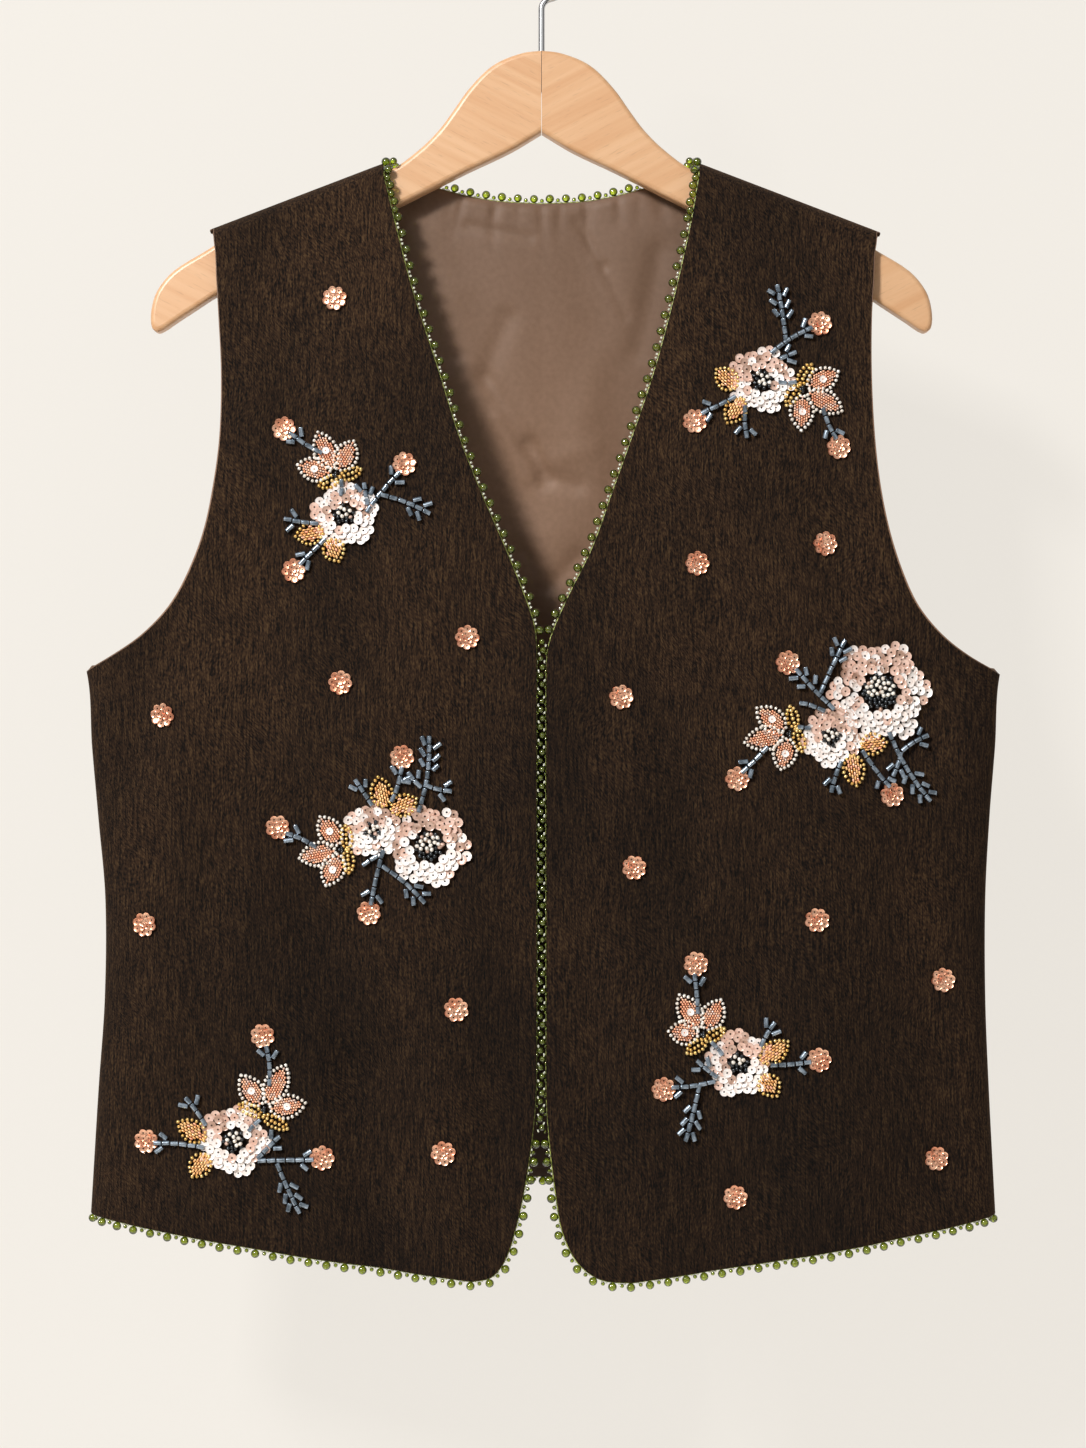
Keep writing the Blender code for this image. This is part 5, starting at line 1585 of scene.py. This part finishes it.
# %% The plan of the six sprays
# A flower is its middle and radius. A bud is the foot of its petals, and their tips. The
# calyx and each leaf run from one place to another, and so does a twig, which ends with
# its number of pairs of side beads.
Spray = namedtuple("Spray", "side x drop flowers bud petal_tips calyx leaves twigs florets")
PETAL_WIDTH = 11
CALYX_WIDTH = 6
LEAF_WIDTH = 10
SPRAYS = {
    "right_chest": Spray(
        "right", -109, 331,
        flowers=((0, 0, 18),),
        bud=(-5, -22),
        petal_tips=((-15, -46), (5, -41), (-26, -28)),
        calyx=(-14, -16, 9, -25),
        leaves=((-9, 9, -27, 12), (-9, 12, -3, 26)),
        twigs=(
            (-12, -34, -31, -46, 1), (12, -1, 31, -24, 1), (20, -11, 48, 0, 2),
            (13, -5, 11, -18, 1), (-14, 5, -34, 2, 1), (-10, 13, -25, 28, 1),
            (-2, -10, -2, -20, 0),
        ),
        florets=((-34, -48), (33, -28), (-28, 31)),
    ),
    "right_waist": Spray(
        "right", -62, 514,
        flowers=((0, 0, 22), (-31, -9, 15)),
        bud=(-48, 2),
        petal_tips=((-60, -16), (-72, 7), (-57, 22)),
        calyx=(-46, -11, -44, 15),
        leaves=((-24, -19, -28, -38), (-23, -18, -7, -26)),
        twigs=(
            (-6, -18, 0, -61, 3), (-3, -34, 13, -30, 1), (-4, -32, -12, -41, 1),
            (-21, -24, -15, -44, 1), (-31, -22, -41, -37, 1), (-62, 1, -80, -7, 1),
            (-25, 2, -32, 33, 1), (-26, 11, -2, 32, 2), (-28, 5, -37, 11, 0),
        ),
        florets=((-15, -49), (-84, -10), (-33, 37)),
    ),
    "right_hem": Spray(
        "right", -170, 677,
        flowers=((0, 0, 19),),
        bud=(17, -17),
        petal_tips=((4, -36), (29, -42), (40, -21)),
        calyx=(3, -20, 30, -7),
        leaves=((-13, 1, -31, -10), (-13, 6, -23, 20)),
        twigs=(
            (20, -30, 18, -53, 1), (-16, 4, -45, 2, 1), (-15, -8, -27, -24, 1),
            (13, 11, 45, 10, 1), (24, 12, 37, 40, 3), (13, 10, 26, -3, 1),
            (8, -5, 15, -12, 0),
        ),
        florets=((16, -58), (-49, 1), (49, 9)),
    ),
    "left_chest": Spray(
        "left", 122, 256,
        flowers=((0, 0, 18),),
        bud=(23, 5),
        petal_tips=((43, -5), (45, 17), (22, 28)),
        calyx=(28, -9, 14, 14),
        leaves=((-12, 6, -25, -6), (-9, 8, -19, 24)),
        twigs=(
            (5, -15, 29, -30, 1), (14, -21, 9, -54, 3), (10, -12, 20, -16, 1),
            (9, 1, 20, 1, 0), (-14, 9, -34, 19, 1), (-9, 14, -8, 33, 1),
            (34, 15, 42, 33, 1),
        ),
        florets=((33, -32), (-37, 23), (43, 37)),
    ),
    "left_waist": Spray(
        "left", 187, 429,
        flowers=((0, 0, 27), (-27, 25, 16)),
        bud=(-50, 23),
        petal_tips=((-68, 9), (-75, 28), (-55, 43)),
        calyx=(-50, 8, -43, 33),
        leaves=((-13, 30, 4, 28), (-16, 32, -13, 52)),
        twigs=(
            (-25, 10, -47, -13, 2), (-33, 1, -19, -29, 2), (-30, 11, -45, 6, 0),
            (-62, 30, -77, 45, 1), (5, 22, 29, 61, 3), (12, 33, 28, 24, 1),
            (12, 33, 7, 47, 1), (-10, 32, 6, 53, 1), (-21, 38, -27, 56, 1),
            (-38, 20, -46, 19, 0),
        ),
        florets=((-51, -16), (-79, 48), (7, 57)),
    ),
    "left_hem": Spray(
        "left", 109, 634,
        flowers=((0, 0, 18),),
        bud=(-20, -16),
        petal_tips=((-33, -38), (-10, -35), (-39, -18)),
        calyx=(-29, -6, -8, -19),
        leaves=((10, 1, 27, -12), (12, 5, 21, 18)),
        twigs=(
            (-23, -27, -25, -50, 1), (17, 1, 40, -1, 1), (12, -9, 20, -23, 1),
            (-13, 10, -38, 13, 1), (-22, 11, -30, 43, 3), (-12, 8, -24, -2, 1),
            (-9, -4, -16, -12, 0),
        ),
        florets=((-24, -55), (44, -2), (-42, 14)),
    ),
}

# Single florets: where each is on its front
LONE_FLORETS = {
    "right": (
        (-115, 210), (-41, 399), (-111, 424), (-210, 442), (-220, 558),
        (-47, 604), (-54, 683),
    ),
    "left": (
        (86, 358), (157, 347), (44, 432), (51, 526), (152, 555), (223, 589),
        (219, 688), (107, 708),
    ),
}

# %% Finding the cloth
CLEARANCE = 0.45
bpy.context.view_layer.update()
graph = bpy.context.evaluated_depsgraph_get()
cloths = {name: BVHTree.FromObject(panel, graph) for name, panel in fronts.items()}


def on_cloth(side, x, drop, height):
    """The place at this height in mm over the cloth, and the cloth's normal there."""
    start, ahead = Vector((x * MM, -1, -drop * MM)), Vector((0, 1, 0))
    place, normal, _, _ = cloths[side].ray_cast(start, ahead)
    if normal.y > 0:
        normal = -normal
    return np.array(place + normal * (CLEARANCE + height) * MM), np.array(normal)


def flat(x, drop):
    """A direction on the plan, in space."""
    return np.array([x, 0.0, -drop])


def in_spray(spray, x, drop):
    """A place on a spray's plan, as a front and a place on it."""
    return spray.side, spray.x + x, spray.drop + drop


def sew_disc(heap, side, x, drop, height, radius, material, lean=(0.0, 0.0)):
    """A sequin, with its face leant towards the plan direction in lean."""
    place, normal = on_cloth(side, x, drop, height)
    heap.add(SEQUIN, place, normal + flat(*lean), (1, 0.1, 0.2), radius, material)


def sew_bead(heap, side, x, drop, height, way, wide, long, material, shape=SEED_BEAD):
    """A bead of this half width and half length, its thread along a way on the plan."""
    place, normal = on_cloth(side, x, drop, height)
    heap.add(shape, place, flat(*way), normal, (wide, wide, long), material)


# %% [markdown]
# ## Flowers
#
# A flower head is rings of sequins round an eye. The outer ring is sewn first and each
# ring inward covers the edge of the one before, like roof tiles, so most of every sequin
# shows, with its hole. Five or six soft notches in the rings make petals. Each sequin's
# outer edge is raised a little, so a flower is a shallow bowl, and no two lean alike. The
# films are mixed, and painted light places them: the lower petals, which catch the light
# from above, are mostly pearl and the upper ones mostly blush and taupe. The eye is a
# dark nest of gunmetal beads, with silver seeds over its upper part.

# %% Sewing a flower
Flower = namedtuple("Flower", "sequin petals eye_share tone")
SMALL_FLOWER = Flower(2.6, 5, 0.31, 0.56)
LARGE_FLOWER = Flower(2.8, 6, 0.36, 0.5)
LARGE_OVER = 20
# Painted light: how much paler the films are on the lower petals than on the upper ones
PAINTED_LIGHT_TONE_FALL = 0.62
OUTER_INSET = 0.8
EYE_ROOM = 0.3
FIRST_HEIGHT = 0.3
SEQUIN_STEP = 1.6
RING_STEP = 1.36
RING_RISE = 0.42
NEIGHBOUR_RISE = 0.35
NOTCH = 0.11
BOWL_LEAN = 0.16
LEAN_JITTER = 0.13


def film_for(tone):
    """A petal keeps mostly to its own tone, from 0, taupe, to 1, pearl."""
    draw = chance.random()
    if draw < 0.12 + 0.85 * tone:
        return PEARL
    return BLUSH if draw < 0.7 + 0.3 * tone else ROSE


def sew_flower(heap, side, x, drop, radius):
    kind = LARGE_FLOWER if radius > LARGE_OVER else SMALL_FLOWER
    disc = kind.sequin
    first_turn = chance.uniform(0, 2 * math.pi)
    # Each petal's tone mixes random films with painted light, paler low down
    tones = []
    for number in range(kind.petals):
        turn = first_turn + 2 * math.pi * number / kind.petals
        tone = kind.tone + PAINTED_LIGHT_TONE_FALL * math.sin(turn) + jitter(0.3)
        tones.append(min(1.0, max(0.0, tone)))
    eye = radius * kind.eye_share
    ring, height = radius - disc * OUTER_INSET, FIRST_HEIGHT
    while ring > eye + disc * EYE_ROOM:
        count = round(2 * math.pi * ring / (disc * SEQUIN_STEP))
        for number in sorted(range(count), key=lambda number: number % 2):
            turn = 2 * math.pi * (number + jitter(0.2)) / count
            share = (turn - first_turn) * kind.petals / (2 * math.pi)
            reach = ring * (1 + NOTCH * math.cos(2 * math.pi * share)) + jitter(0.5)
            way = (math.cos(turn), math.sin(turn))
            lean = [-BOWL_LEAN * w + jitter(LEAN_JITTER) for w in way]
            rise = height + NEIGHBOUR_RISE * (number % 2) + chance.uniform(0, 0.15)
            size = disc * chance.uniform(0.93, 1.05)
            film = film_for(tones[round(share) % kind.petals])
            place = (x + reach * way[0], drop + reach * way[1])
            sew_disc(heap, side, *place, rise, size, film, lean)
        ring -= disc * RING_STEP
        height += RING_RISE
    sew_eye(heap, side, x, drop, eye)


# %% Sewing a flower's eye
NEST_PITCH = 2.5
NEST_HEIGHT = 1.6
NEST_ROUND = 0.85
ROSE_SHARE = 0.06
SILVER_PITCH = 2.9
SILVER_HEIGHT = 2.7
SILVER_SIZE = (1.3, 1.1)
SILVER_SPREAD = 0.85
SILVER_FROM = -0.25
SPIRAL_DENSITY = 3.6


def spiral_places(radius, pitch):
    """A sunflower's spiral, which fills a disc evenly without rows."""
    count = round((radius / pitch) ** 2 * SPIRAL_DENSITY)
    for number in range(count):
        ring = radius * math.sqrt((number + 0.5) / count)
        turn = number * math.pi * (3 - math.sqrt(5))
        yield ring * math.cos(turn) + jitter(0.25), ring * math.sin(turn) + jitter(0.25)


def sew_eye(heap, side, x, drop, radius):
    for over, down in spiral_places(radius, NEST_PITCH):
        size = chance.uniform(1.2, 1.5)
        finish = ROSE if chance.random() < ROSE_SHARE else GUNMETAL
        place, way = (x + over, drop + down), (down + 1, over)
        sew_bead(heap, side, *place, NEST_HEIGHT, way, size, size * NEST_ROUND, finish)
    light_side = -math.pi / 2 + jitter(0.9)
    for over, down in spiral_places(radius * SILVER_SPREAD, SILVER_PITCH):
        toward_light = (over * math.cos(light_side) + down * math.sin(light_side)) / radius
        if toward_light + jitter(0.3) > SILVER_FROM:
            place, way = (x + over, drop + down), (down + 1, over)
            sew_bead(heap, side, *place, SILVER_HEIGHT, way, *SILVER_SIZE, SILVER)


# %% [markdown]
# ## Buds, leaves and twigs
#
# A bud is three pointed petals. Each is drawn round its edge with silver seed beads, a
# little apart, and filled with rows of tiny rose-gold ones; some have one pearl sequin
# on top. Two oval wings of gold beads make the calyx. The leaves are the same shape as
# the petals, in gold. Twigs are bugle beads end to end, with loose ones set slantwise at
# their sides.

# %% Sewing a petal or a leaf
# Share of the length, then share of the half width
LEAF_SHAPE = (
    (0, 0.22),
    (0.15, 0.82),
    (0.32, 1.13),
    (0.5, 1.15),
    (0.68, 0.97),
    (0.85, 0.58),
    (1, 0),
)
SEED = 1.1
SEED_ROUND = 0.86
SEED_PITCH = 2.55
GRAIN = 0.66
FOOT_SHARE = 0.16
FILL_INSET = 1.75
FILL_FROM = 0.03
FILL_TO = 0.95
FILL_HEIGHT = 0.9
FILL_CROWN = 0.6
PETAL_GRAIN_LENGTH = 1.35
LEAF_GRAIN_LENGTH = 2.3
OTHER_SHARE = 0.2
PEARL_AT = 0.56
PEARL_HEIGHT = 2.0
PEARL_RADIUS = 2.1
PEARL_LEAN = (0.1, -0.15)


Piece = namedtuple("Piece", "x drop to_x to_drop size")


def leaf_frame(piece):
    """Where a petal or leaf starts, its line to the tip, and the way across it."""
    start = np.array([piece.x, piece.drop], float)
    line = np.array([piece.to_x, piece.to_drop], float) - start
    return start, line, unit(np.array([-line[1], line[0]]))


def leaf_side(piece, sign):
    """The edge of a petal or leaf on one side, from its foot to its tip."""
    start, line, across = leaf_frame(piece)
    shares = np.linspace(0, 1, 40)
    half = smooth(LEAF_SHAPE, shares)[:, 0] * piece.size / 2
    along = FOOT_SHARE + (1 - FOOT_SHARE) * shares
    return start + along[:, None] * line + sign * half[:, None] * across


def even_places(line, pitch):
    """Points along a line, an even pitch apart."""
    lengths = lengths_along(line)
    count = max(2, round(lengths[-1] / pitch) + 1)
    return read_rows(np.linspace(0, lengths[-1], count), lengths, line)


def sew_outline(heap, spray, piece, material):
    for sign in (-1, 1):
        spots = even_places(leaf_side(piece, sign), SEED_PITCH)
        for number, spot in enumerate(spots[: len(spots) - (sign > 0)]):
            ahead = spots[min(number + 1, len(spots) - 1)] - spots[max(number - 1, 0)]
            place = in_spray(spray, *(spot + (jitter(0.12), jitter(0.12))))
            size = SEED * chance.uniform(0.93, 1.05)
            sew_bead(heap, *place, size * 0.9, ahead, size, size * SEED_ROUND, material)


def sew_filling(heap, spray, piece, material, other, long):
    """Rows of small beads that run along the leaf and stop short of its edge."""
    start, line, across = leaf_frame(piece)
    length = float(np.linalg.norm(line))
    for row in range(-4, 5):
        off = row * GRAIN * 2
        share = FOOT_SHARE + FILL_FROM + (row % 2) * long / length / 2
        while share < FILL_TO:
            leaf_share = (share - FOOT_SHARE) / (1 - FOOT_SHARE)
            half = float(smooth(LEAF_SHAPE, leaf_share)[..., 0]) * piece.size / 2
            if abs(off) <= half - FILL_INSET:
                place = in_spray(spray, *(start + line * share + across * off))
                chosen = other if chance.random() < OTHER_SHARE else material
                height = FILL_HEIGHT + FILL_CROWN * (1 - abs(off) / (piece.size / 2))
                way = line + across * jitter(0.15) * length
                sew_bead(heap, *place, height, way, GRAIN, long / 2, chosen)
            share += (long + 0.1) / length


def sew_petal(heap, spray, piece, sequin_on):
    sew_filling(heap, spray, piece, ROSE_GOLD, BLUSH, PETAL_GRAIN_LENGTH)
    sew_outline(heap, spray, piece, SILVER)
    if sequin_on:
        start, line, _ = leaf_frame(piece)
        place = in_spray(spray, *(start + line * PEARL_AT))
        sew_disc(heap, *place, PEARL_HEIGHT, PEARL_RADIUS, PEARL, PEARL_LEAN)


def sew_leaf(heap, spray, piece):
    sew_filling(heap, spray, piece, AMBER, ROSE_GOLD, LEAF_GRAIN_LENGTH)
    sew_outline(heap, spray, piece, GOLD)


# %% Sewing a calyx and its knot
CALYX_PITCH = 2.45
CALYX_HEIGHT = 0.9
CALYX_MIDDLE_HEIGHT = 1.15
KNOT_BEADS = 4
KNOT_RADIUS = 1.2
KNOT_HEIGHT = 1.4
KNOT_SIZE = (1.1, 0.95)


def sew_calyx(heap, spray, piece):
    """A bow of gold beads: two ovals with a row down the middle."""
    start, line, across = leaf_frame(piece)
    shares = np.linspace(0, 1, 60)
    half = np.sqrt(np.abs(np.sin(2 * math.pi * shares))) * piece.size / 2
    for sign in (-1, 0, 1):
        side_line = start + shares[:, None] * line + sign * half[:, None] * across
        spots = even_places(side_line, CALYX_PITCH)
        if sign == 1:
            spots = spots[1:-1]
        for spot in spots:
            size = SEED * chance.uniform(0.95, 1.08)
            side, x, drop = in_spray(spray, *spot)
            place = (side, x + jitter(0.2), drop + jitter(0.2))
            height = CALYX_HEIGHT if sign else CALYX_MIDDLE_HEIGHT
            sew_bead(heap, *place, height, line, size, size * SEED_ROUND, GOLD)


def sew_knot(heap, spray, x, drop):
    """A few gunmetal beads where the petals of a bud meet."""
    side, x, drop = in_spray(spray, x, drop)
    for number in range(KNOT_BEADS):
        turn = number * math.pi / 2
        off = KNOT_RADIUS if number else 0.0
        place = (side, x + off * math.cos(turn), drop + off * math.sin(turn))
        sew_bead(heap, *place, KNOT_HEIGHT, (1, 1), *KNOT_SIZE, GUNMETAL)


# %% Sewing a twig
BUGLE_HALF_WIDTH = 1.35
BUGLE_STEP = 5.1
BUGLE_GAP = 0.7
SIDE_LENGTH = 5.2
SIDE_OFF = 2.3
SIDE_TURN = 38.0
SIDE_STEP = 6.2
SIDE_START = 5.5
HAND_STEP = 1.8


def sew_bugle(heap, spray, place, way, half_length):
    size = (BUGLE_HALF_WIDTH, half_length)
    height = BUGLE_HALF_WIDTH
    sew_bead(heap, *in_spray(spray, *place), height, way, *size, STEEL_BLUE, BUGLE_BEAD)


def sew_twig(heap, spray, piece):
    inner = np.array([piece.x, piece.drop], float)
    outer = np.array([piece.to_x, piece.to_drop], float)
    length = float(np.linalg.norm(outer - inner))
    way = (outer - inner) / length
    across = np.array([-way[1], way[0]])
    count = max(1, round(length / BUGLE_STEP))
    half = (length / count - BUGLE_GAP) / 2
    bend = jitter(0.05) * length
    for number in range(count):
        share = (number + 0.5) / count
        place = inner + way * length * share + across * bend * math.sin(math.pi * share)
        slope = bend * math.pi / length * math.cos(math.pi * share)
        sew_bugle(heap, spray, place, way + across * (slope + jitter(0.06)), half)
    for number in range(2 * piece.size):
        hand = 1 if number % 2 else -1
        back = SIDE_START + SIDE_STEP * (number // 2) + HAND_STEP * (hand > 0) + jitter(0.6)
        turn = math.radians(SIDE_TURN + chance.uniform(-10, 14)) * hand
        heading = way * math.cos(turn) + across * math.sin(turn)
        bent = bend * math.sin(math.pi * max(1 - back / length, 0))
        foot = outer - way * back + across * (hand * SIDE_OFF + bent)
        half = SIDE_LENGTH / 2 * chance.uniform(0.88, 1.05)
        sew_bugle(heap, spray, foot + heading * SIDE_LENGTH / 2, heading, half)


# %% [markdown]
# ## Florets
#
# A floret is a ring of eight small copper sequins, a ring of four on it and one in the
# middle. They overlap, so their holes make two rings of dark dots, and each leans its
# own way and flashes by itself.

# %% Sewing a floret
# Radius of the ring, how many sequins it has, its height, and their radius
FLORET_RINGS = ((4.7, 8, 0.3, 2.2), (2.1, 4, 0.75, 1.7), (0.0, 1, 1.15, 1.6))
FLORET_LEAN = 0.1


def sew_floret(heap, side, x, drop):
    start = chance.uniform(0, 1)
    for radius, count, height, size in FLORET_RINGS:
        for number in range(count):
            turn = start + 2 * math.pi * number / count
            way = (math.cos(turn), math.sin(turn))
            lean = [-FLORET_LEAN * w + jitter(0.12) for w in way]
            rise = height + 0.2 * (number % 2) + chance.uniform(0, 0.15)
            place = (x + radius * way[0], drop + radius * way[1])
            sew_disc(heap, side, *place, rise, size, COPPER, lean)
        start += 0.3


# %% Sew the sprays
for name, spray in SPRAYS.items():
    heap = Heap(SEWN)
    for number, tip in enumerate(spray.petal_tips):
        sew_petal(heap, spray, Piece(*spray.bud, *tip, PETAL_WIDTH), number != 1)
    sew_calyx(heap, spray, Piece(*spray.calyx, CALYX_WIDTH))
    sew_knot(heap, spray, *spray.bud)
    for leaf in spray.leaves:
        sew_leaf(heap, spray, Piece(*leaf, LEAF_WIDTH))
    for twig in spray.twigs:
        sew_twig(heap, spray, Piece(*twig))
    for place in spray.florets:
        sew_floret(heap, *in_spray(spray, *place))
    for x, drop, radius in spray.flowers:
        sew_flower(heap, *in_spray(spray, x, drop), radius)
    heap.make(f"sewn_spray_{name}", f"spray_{name}", "sequin_and_bead_work")

# %% Sew the single florets
for side, places in LONE_FLORETS.items():
    for number, place in enumerate(places, 1):
        heap = Heap((COPPER,))
        sew_floret(heap, side, *place)
        heap.make(f"sewn_floret_{side}_{number}", f"floret_{side}_{number}", "copper_sequins")

# %% [markdown]
# ## The hanger
#
# The hanger is sawn from a beech board in two arms, mitred at the middle, with every
# edge rounded over by a router and a thin satin lacquer. Beech is pale and pinkish,
# with fine darker flecks along the grain, and the grain runs along each arm, so each
# arm has its own material, turned to its slope. The hook is bent from chromed steel
# wire.

# %% Outline of an arm
BOARD_TOP = (
    (0.0, 69.3),
    (10.1, 70.5),
    (22.9, 75.1),
    (31.3, 80.8),
    (41.7, 92.0),
    (49.5, 103.1),
    (57.9, 114.3),
    (69.4, 125.5),
    (85.1, 136.4),
    (110.0, 144.0),
    (135.0, 153.4),
    (155.0, 162.0),
    (172.0, 171.3),
    (187.8, 181.3),
    (206.3, 192.9),
    (215.5, 204.0),
    (218.8, 215.0),
    (218.4, 224.6),
)
BOARD_UNDER = (
    (214.5, 227.0),
    (204.8, 221.0),
    (193.5, 213.6),
    (182.0, 206.3),
    (134.0, 182.6),
    (74.7, 153.6),
    (41.7, 137.0),
    (17.6, 125.6),
    (0.0, 115.2),
)
BOARD_THICKNESS = 13.0
BOARD_ROUNDING = 3.0
MITRE_GAP = 0.3
BOARD_FINENESS = 4


# %% Beech and chrome
def beech(name, lean):
    """Lacquered beech whose grain runs at this slope, in degrees, in the board's plane."""
    material, tree, shader, place = new_material(name)
    turned = turned_in_plane(tree, place, lean)

    def along_grain(length, width, detail, shift=0.0):
        """Noise drawn out along the grain, moved on by a shift so that no two agree."""
        scale = (per_mm(length), per_mm(width), per_mm(width))
        drawn_out = calculate_vector(tree, "MULTIPLY_ADD", turned, scale, (shift, 0, 0))
        inputs = {"Vector": drawn_out, "Scale": 1.0, "Detail": detail, "Distortion": 0.25}
        return put(tree, "ShaderNodeTexNoise", inputs).outputs["Fac"]

    bands = along_grain(160.0, 5.5, detail=3.0)
    flecks = along_grain(7.0, 0.7, detail=1.0, shift=5.0)
    wood = blend(tree, bands, (0.34, rgba("cc9a6d")), (0.64, rgba("d6aa80")))
    flecked = ranged(tree, flecks, (0.62, 0.78), (1.0, 0.84))
    feed(tree, shader, {
        "Base Color": calculate_vector(tree, "MULTIPLY", wood, flecked),
        "Roughness": 0.45,
        "IOR": 1.5,
        "Coat Weight": 0.25,
        "Coat Roughness": 0.3,
    })
    emboss(tree, shader, bands, strength=0.1, most=0.3)
    return material


def chrome():
    """Plated wire: almost a mirror, with faint drawing marks along it."""
    material, tree, shader, place = new_material("chrome_plated_wire")
    rough = ranged(tree, mottle(tree, place, 0.5), (0.0, 1.0), (0.08, 0.16))
    feed(tree, shader, {"Base Color": rgba("c8c9cc"), "Metallic": 1.0, "Roughness": rough})
    return material


# %% Make the arms
GRAIN_LEAN = 27.0


def make_arm(name, side):
    top = [(MITRE_GAP / 2, BOARD_TOP[0][1]), *BOARD_TOP[1:]]
    under = [*BOARD_UNDER[:-1], (MITRE_GAP / 2, BOARD_UNDER[-1][1])]
    points = top + under
    places = np.arange((len(points) - 1) * BOARD_FINENESS + 1) / BOARD_FINENESS
    outline = through(points, places)
    outline[:, 0] = np.clip(outline[:, 0], MITRE_GAP / 2, None)
    count = len(outline)
    depths = (-BOARD_THICKNESS / 2, BOARD_THICKNESS / 2)
    verts = [(side * x * MM, y * MM, -drop * MM) for y in depths for x, drop in outline]
    faces = [tuple(range(count)), tuple(range(2 * count - 1, count - 1, -1))]
    faces += [(i, i + count, (i + 1) % count + count, (i + 1) % count) for i in range(count)]
    mesh = bpy.data.meshes.new(name)
    mesh.from_pydata(verts, [], faces)
    if side < 0:
        mesh.flip_normals()
    mesh.materials.append(beech(f"lacquered_beech_{name.split('_')[-1]}", side * GRAIN_LEAN))
    weights = mesh.attributes.new("bevel_weight_edge", "FLOAT", "EDGE")
    for edge in mesh.edges:
        a, b = edge.vertices
        on_face = (a < count) == (b < count)
        at_mitre = all(abs(mesh.vertices[v].co.x) < MITRE_GAP * MM for v in (a, b))
        weights.data[edge.index].value = 1.0 if on_face and not at_mitre else 0.0
    mesh.shade_smooth()
    mesh.set_sharp_from_angle(angle=math.radians(40))
    arm = bpy.data.objects.new(name, mesh)
    scene.collection.objects.link(arm)
    bevel = arm.modifiers.new("routed edge", "BEVEL")
    bevel.limit_method = "WEIGHT"
    bevel.width = BOARD_ROUNDING * MM
    bevel.segments = 5
    return arm


for name, side in SIDES.items():
    arm = make_arm(f"beech_arm_{name}", side)
    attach(arm, ROOT)
    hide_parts(f"hanger_arm_{name}")
    print(arm.name, len(arm.data.vertices), "points")

# %% Make the hook
HOOK_WIRE_RADIUS = 1.9
HOOK_INNER_RADIUS = 19.0
HOOK_NECK_RADIUS = 6.0
HOOK_END_ANGLE = 205.0
HOOK_FOOT_DROP = 92.0
HOOK_STEPS = 64
HOOK_NECK_STEPS = 16
# The last point but how many, and its share of the wire's radius: a rounded end
HOOK_TIP = ((1, 0.45), (2, 0.85))


def hook_route():
    """The wire's centre line: up the shank, round a small bend and over the large one."""
    wire = HOOK_INNER_RADIUS + HOOK_WIRE_RADIUS
    apart = math.sqrt((wire + HOOK_NECK_RADIUS) ** 2 - HOOK_NECK_RADIUS**2)
    bend_drop = HOOK_INNER_RADIUS + apart
    meet = math.atan2(bend_drop - HOOK_INNER_RADIUS, -HOOK_NECK_RADIUS)
    route = [(0.0, HOOK_FOOT_DROP), (0.0, bend_drop)]
    for step in range(1, HOOK_NECK_STEPS + 1):
        angle = math.pi + (meet - math.pi) * step / HOOK_NECK_STEPS
        x = HOOK_NECK_RADIUS * (1 + math.cos(angle))
        route.append((x, bend_drop - HOOK_NECK_RADIUS * math.sin(angle)))
    start, end = meet - math.pi, math.radians(HOOK_END_ANGLE)
    for step in range(1, HOOK_STEPS + 1):
        angle = start + (end - start) * step / HOOK_STEPS
        route.append((wire * math.cos(angle), HOOK_INNER_RADIUS - wire * math.sin(angle)))
    return route


wire = bpy.data.curves.new("chrome_hook", "CURVE")
wire.dimensions = "3D"
wire.bevel_depth = HOOK_WIRE_RADIUS * MM
wire.bevel_resolution = 6
wire.use_fill_caps = True
route = hook_route()
spline = wire.splines.new("POLY")
spline.points.add(len(route) - 1)
for point, (x, drop) in zip(spline.points, route):
    point.co = (x * MM, 0, -drop * MM, 1)
for back, share in HOOK_TIP:
    spline.points[-back].radius = share
wire.materials.append(chrome())
hook = bpy.data.objects.new("chrome_hook", wire)
scene.collection.objects.link(hook)
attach(hook, ROOT)
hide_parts("hanger_hook")
print(hook.name, len(route), "points")

# %% [markdown]
# ## The cloth pieces
#
# The cloth pieces are the two fronts, the back and the lining. The waistcoat hangs nearly
# flat, so each shows at close to the size of its flat cut. The work sewn on each front is
# gathered with it, and the pieces' names are printed.

SEWN_ON = ("neck_", "hem_", "centre_", "sewn_")
made = {obj.name: obj for obj in scene.objects if obj.name.startswith(SEWN_ON)}
for side, panel in fronts.items():
    sewn_on = [obj for name, obj in made.items() if f"_{side}" in name]
    sewn_on += [made["centre_front_edging"]] if side == "right" else []
print("sheets:", [panel.name for panel in (*fronts.values(), back_panel, lining)])

# %% The box round the made pieces
# SIZES
made_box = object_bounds()
[[list(corner) for corner in box] for box in (solid_box, made_box)]
print("box:", made_box)
